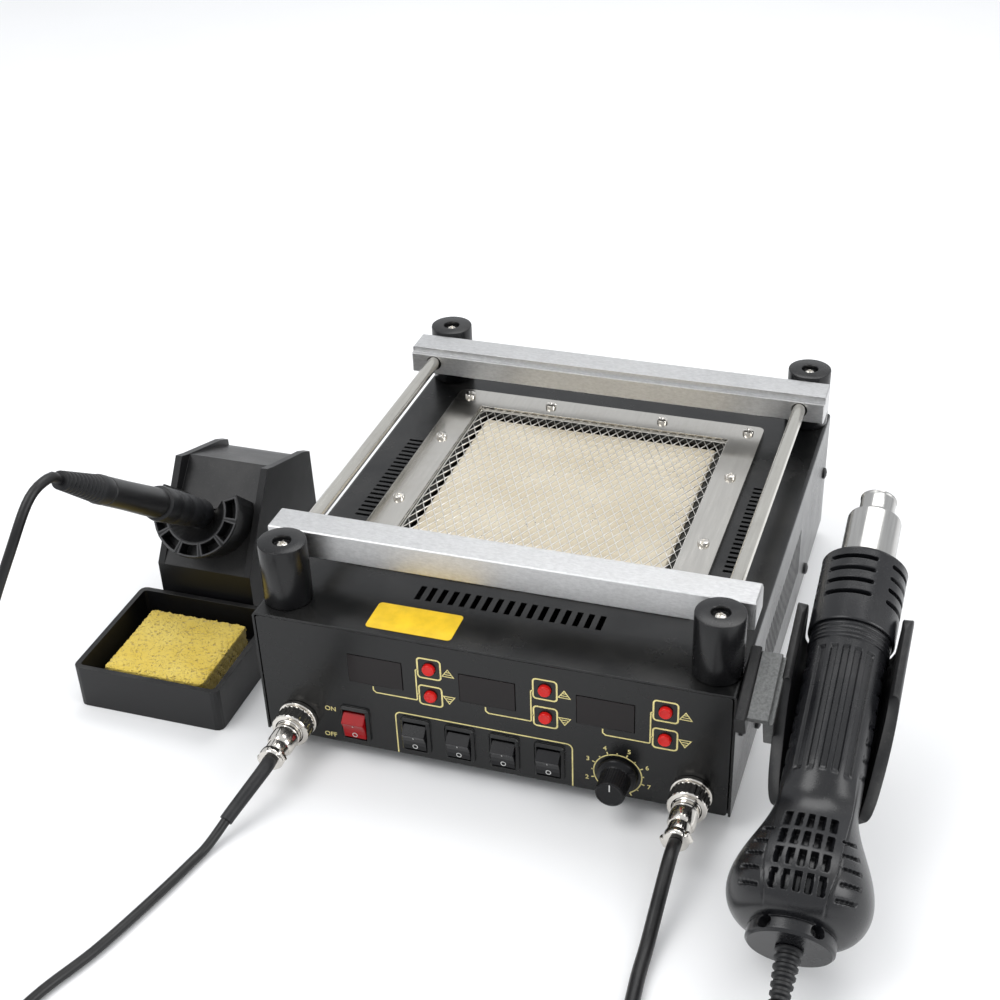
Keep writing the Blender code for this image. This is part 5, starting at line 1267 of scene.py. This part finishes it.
class STATION_OT_cradle(bpy.types.Operator):
    """Gun cradle: curved arms cut back below, on a black strip and a zinc plate"""
    bl_idname = "station.cradle"
    bl_label = "Gun cradle"

    def execute(self, context):
        place = gun_frame()
        piece("curved_cradle", placed(self.arms(), place), "moulded_plastic", "station", ("cradle",))
        strip = block((-0.0446, -0.0120, 0.0990), (-0.0392, 0.0010, 0.1400), 0.0008)
        piece("cradle_strip", placed(strip, place), "moulded_plastic", "station", ("cradle_bracket",))
        steps = [block((-0.0391, -0.0115, 0.1010), (-0.0287, -0.0085, 0.1380), 0.0005),
                 block((-0.0315, -0.0086, 0.1010), (-0.0264, 0.0100, 0.1380), 0.0005)]
        piece("cradle_plate", placed(together(steps), place), "zinc_plate", "station")
        return {"FINISHED"}

    def arms(self):
        """Shell round the gun by angle u from below: both ends' stations change with u, the inner
        radius flares near the tips, and the wall closes over its mid radius as a half ellipse."""
        tip, wall, rise = radians(106), 0.0060, 0.0026
        u = np.linspace(-tip, tip, 121)
        side = np.abs(u)
        flare = 0.0014 * ease((side - 1.25) / 0.5)
        inner, outer = 0.0215 + flare, 0.0215 + wall + 0.5 * flare
        middle = (inner + outer) / 2
        share = np.sqrt(np.clip(1 - np.clip((side - tip + 0.12) / 0.12, 0, 1) ** 2, 0, 1))
        low = 0.072 + 0.055 * ease((side - 0.95) / 0.90)
        near_tip = np.clip((side - tip + 0.28) / 0.28, 0, 1)
        round_off = 0.008 * (1 - np.sqrt(np.clip(1 - near_tip ** 2, 0, 1)))
        high = (0.1488 + 0.0080 * ease((side - 0.75) / 0.2) + 0.0155 * ease((side - 1.38) / 0.22)
                - round_off)
        v = np.array([0, 0, 0.008, 0.03, *np.linspace(0.08, 0.92, 22), 0.97, 0.992, 1, 1])
        thick = np.array([0, 0.8, 0.95, 1, *np.ones(22), 1, 0.95, 0.8, 0])
        rows = []
        for place, full in zip(v, thick):
            s = low + (high - low) * place
            out = middle + (outer - middle) * share * full
            into = middle - (middle - inner) * share * full
            loop_r = np.concatenate([out, into[::-1]])
            loop_u = np.concatenate([u, u[::-1]])
            loop_s = np.concatenate([s, s[::-1]])
            rows.append(np.column_stack([loop_r * np.sin(loop_u), loop_r * np.cos(loop_u) - rise,
                                         loop_s]))
        return woven(np.stack(rows), wrap_columns=True)


def ribbed_sleeve(near, far, near_r, far_r, ribs):
    """A tapered cord sleeve: radius falls evenly from near to far with a rounded ring per rib."""
    points = [(0, near), (near_r, near)]
    t = np.linspace(0, 1, ribs * 10 + 1)[1:]
    ring = np.clip(np.sin(t * ribs * 2 * pi + 0.6) * 3, -1, 1)
    radius = near_r + (far_r - near_r) * t - 0.0004 + 0.0005 * ring
    points += list(zip(radius, near + (far - near) * t))
    points += [(0, far)]
    return turned(points, 40)


class STATION_OT_iron(bpy.types.Operator):
    """Soldering iron: barrel and tip, soft grip, handle and cord sleeve"""
    bl_idname = "station.iron"
    bl_label = "Soldering iron"

    def execute(self, context):
        place = iron_frame()
        mouth, top = -0.010, 0.045
        barrel = [(0, mouth - GAP), (0.0035, mouth - GAP), (0.0035, -0.0480), (0.0033, -0.0485),
                  (0.0033, -0.0600), (0.0026, -0.0606), (0.0022, -0.0615), (0.0004, -0.0748),
                  (0, -0.0750)]
        piece("iron_tip", placed(turned(barrel, 40), place), "nickel", "iron", ("iron_barrel",))
        grip = [(0, top), (0.0080, top), (0.0094, top - 0.0008), (0.0098, top - 0.0030),
                (0.0096, 0.0330), (0.0091, 0.0322), (0.0091, 0.0302), (0.0095, 0.0292),
                (0.0093, 0.0200), (0.0088, 0.0192), (0.0088, 0.0172), (0.0091, 0.0162),
                (0.0088, 0.0060), (0.0082, 0.0050), (0.0082, 0.0030), (0.0083, 0.0020),
                (0.0082, mouth + 0.003), (0.0066, mouth), (0, mouth)]
        piece("iron_soft_grip", placed(turned(grip), place), "soft_rubber", "iron", ("iron_grip",))
        handle = [(0, 0.1000), (0.0068, 0.1000), (0.0074, 0.0994), (0.0075, 0.0980), (0.0076, 0.0800),
                  (0.0079, 0.0655), (0.0081, 0.0560), (0.0082, 0.0510), (0.0081, 0.0465),
                  (0.0078, top + GAP), (0, top + GAP)]
        piece("iron_grip_tube", placed(turned(handle), place), "moulded_plastic", "iron",
              ("iron_handle",))
        collar = turned([(0, 0.1003), (0.0066, 0.1003), (0.0074, 0.1010), (0.0076, 0.1024),
                         (0.0076, 0.1075), (0.0072, 0.1092), (0, 0.1092)])
        ribs = ribbed_sleeve(0.1090, IRON_RELIEF_END, 0.0071, 0.0046, 10)
        piece("iron_cord_sleeve", placed(together([collar, ribs]), place),
              "soft_rubber", "iron", ("iron_relief",))
        return {"FINISHED"}


class STATION_OT_iron_stand(bpy.types.Operator):
    """Moulded stand, its pocketed funnel, the tray and its sponge"""
    bl_idname = "station.iron_stand"
    bl_label = "Iron stand"

    def execute(self, context):
        dress("moulded_plastic", "stand_body", "funnel", "sponge_tray")
        sponge = piece("cut_sponge", self.sponge(), "cellulose", "station", ("sponge",),
                       sharp=radians(60))
        # The rims are lighter grey lines: a painted highlight on the edges of the funnel's pockets
        piece("funnel_rims", placed(self.rims(), iron_frame()), "worn_rim", "station")
        return {"FINISHED"}

    def rims(self):
        """Lighter grey lines that paint the highlight on the receptacle's front edges: one closed line
        round each of its pockets.
        """
        gap, count = radians(60), 7
        pitch = (2 * pi - 2 * gap) / count
        shapes = []
        for k in range(count):
            middle = pi / 2 + gap + (k + 0.5) * pitch
            half = pitch / 2 - radians(2.6)
            edge = np.vstack([arc((0, 0), 0.0250, middle - half, middle + half, 9),
                              arc((0, 0), 0.0180, middle + half + 0.015, middle - half - 0.015, 8)])
            shapes.append(ribbon(edge, 0.0008, 0.00016, closed=True))
        return together(shapes)

    def sponge(self):
        """A block whose skin is pushed in and out by sums of sines, rough most at its cut edges."""
        low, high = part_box("sponge")
        size = np.array(high - low)
        middle = np.array(high + low) / 2
        shapes = []
        n = 72
        u = np.linspace(-1, 1, n)
        for axis in range(3):
            for sign in (-1, 1):
                first, second = np.meshgrid(u, u, indexing="ij")
                cube = np.zeros((n, n, 3))
                cube[..., axis] = sign
                cube[..., (axis + 1) % 3] = first
                cube[..., (axis + 2) % 3] = second * sign
                shapes.append(woven(cube))
        points, faces = together(shapes)
        flat = points * size / 2
        edge = np.sort(np.abs(points), axis=1)[:, 1] ** 14
        rough = sum(np.sin(flat @ (np.array(way) * rate) + k * 1.7) for k, (way, rate) in enumerate(
            (((1.0, 0.6, 0.4), 1450), ((-0.5, 1.0, 0.7), 1730), ((0.8, -0.9, 0.5), 2310),
             ((0.3, 0.7, -1.0), 2890), ((1.0, 0.9, 0.2), 3470)))) / 5
        outward = points / np.linalg.norm(points, axis=1)[:, None]
        push = rough * (0.00028 + 0.0009 * edge) - 0.0011 * edge - 0.0004
        return middle + flat + outward * push[:, None], faces


PIECES = (STATION_OT_stage, STATION_OT_cords, STATION_OT_case, STATION_OT_panel_print,
          STATION_OT_switches, STATION_OT_sockets, STATION_OT_heater, STATION_OT_board_holder,
          STATION_OT_gun, STATION_OT_cradle, STATION_OT_iron, STATION_OT_iron_stand)


class STATION_PT_panel(bpy.types.Panel):
    """Lists the station's pieces and settings in the sidebar"""
    bl_idname = "STATION_PT_panel"
    bl_label = "Rework station"
    bl_space_type = "VIEW_3D"
    bl_region_type = "UI"
    bl_category = "Rework station"

    def draw(self, context):
        for operator in PIECES:
            self.layout.operator(operator.bl_idname)
        for settings in (context.scene.station_sizes, context.scene.station_colours):
            for name in settings.__annotations__:
                self.layout.prop(settings, name)


CLASSES = (StationSizes, StationColours, *PIECES, STATION_PT_panel)


def register():
    for made in CLASSES:
        bpy.utils.register_class(made)
    bpy.types.Scene.station_sizes = PointerProperty(type=StationSizes)
    bpy.types.Scene.station_colours = PointerProperty(type=StationColours)


def unregister():
    del bpy.types.Scene.station_colours
    del bpy.types.Scene.station_sizes
    for made in reversed(CLASSES):
        bpy.utils.unregister_class(made)


def main():
    register()
    for operator in PIECES:
        group_name, call = operator.bl_idname.split(".")
        getattr(getattr(bpy.ops, group_name), call)()


if __name__ == "__main__":
    main()
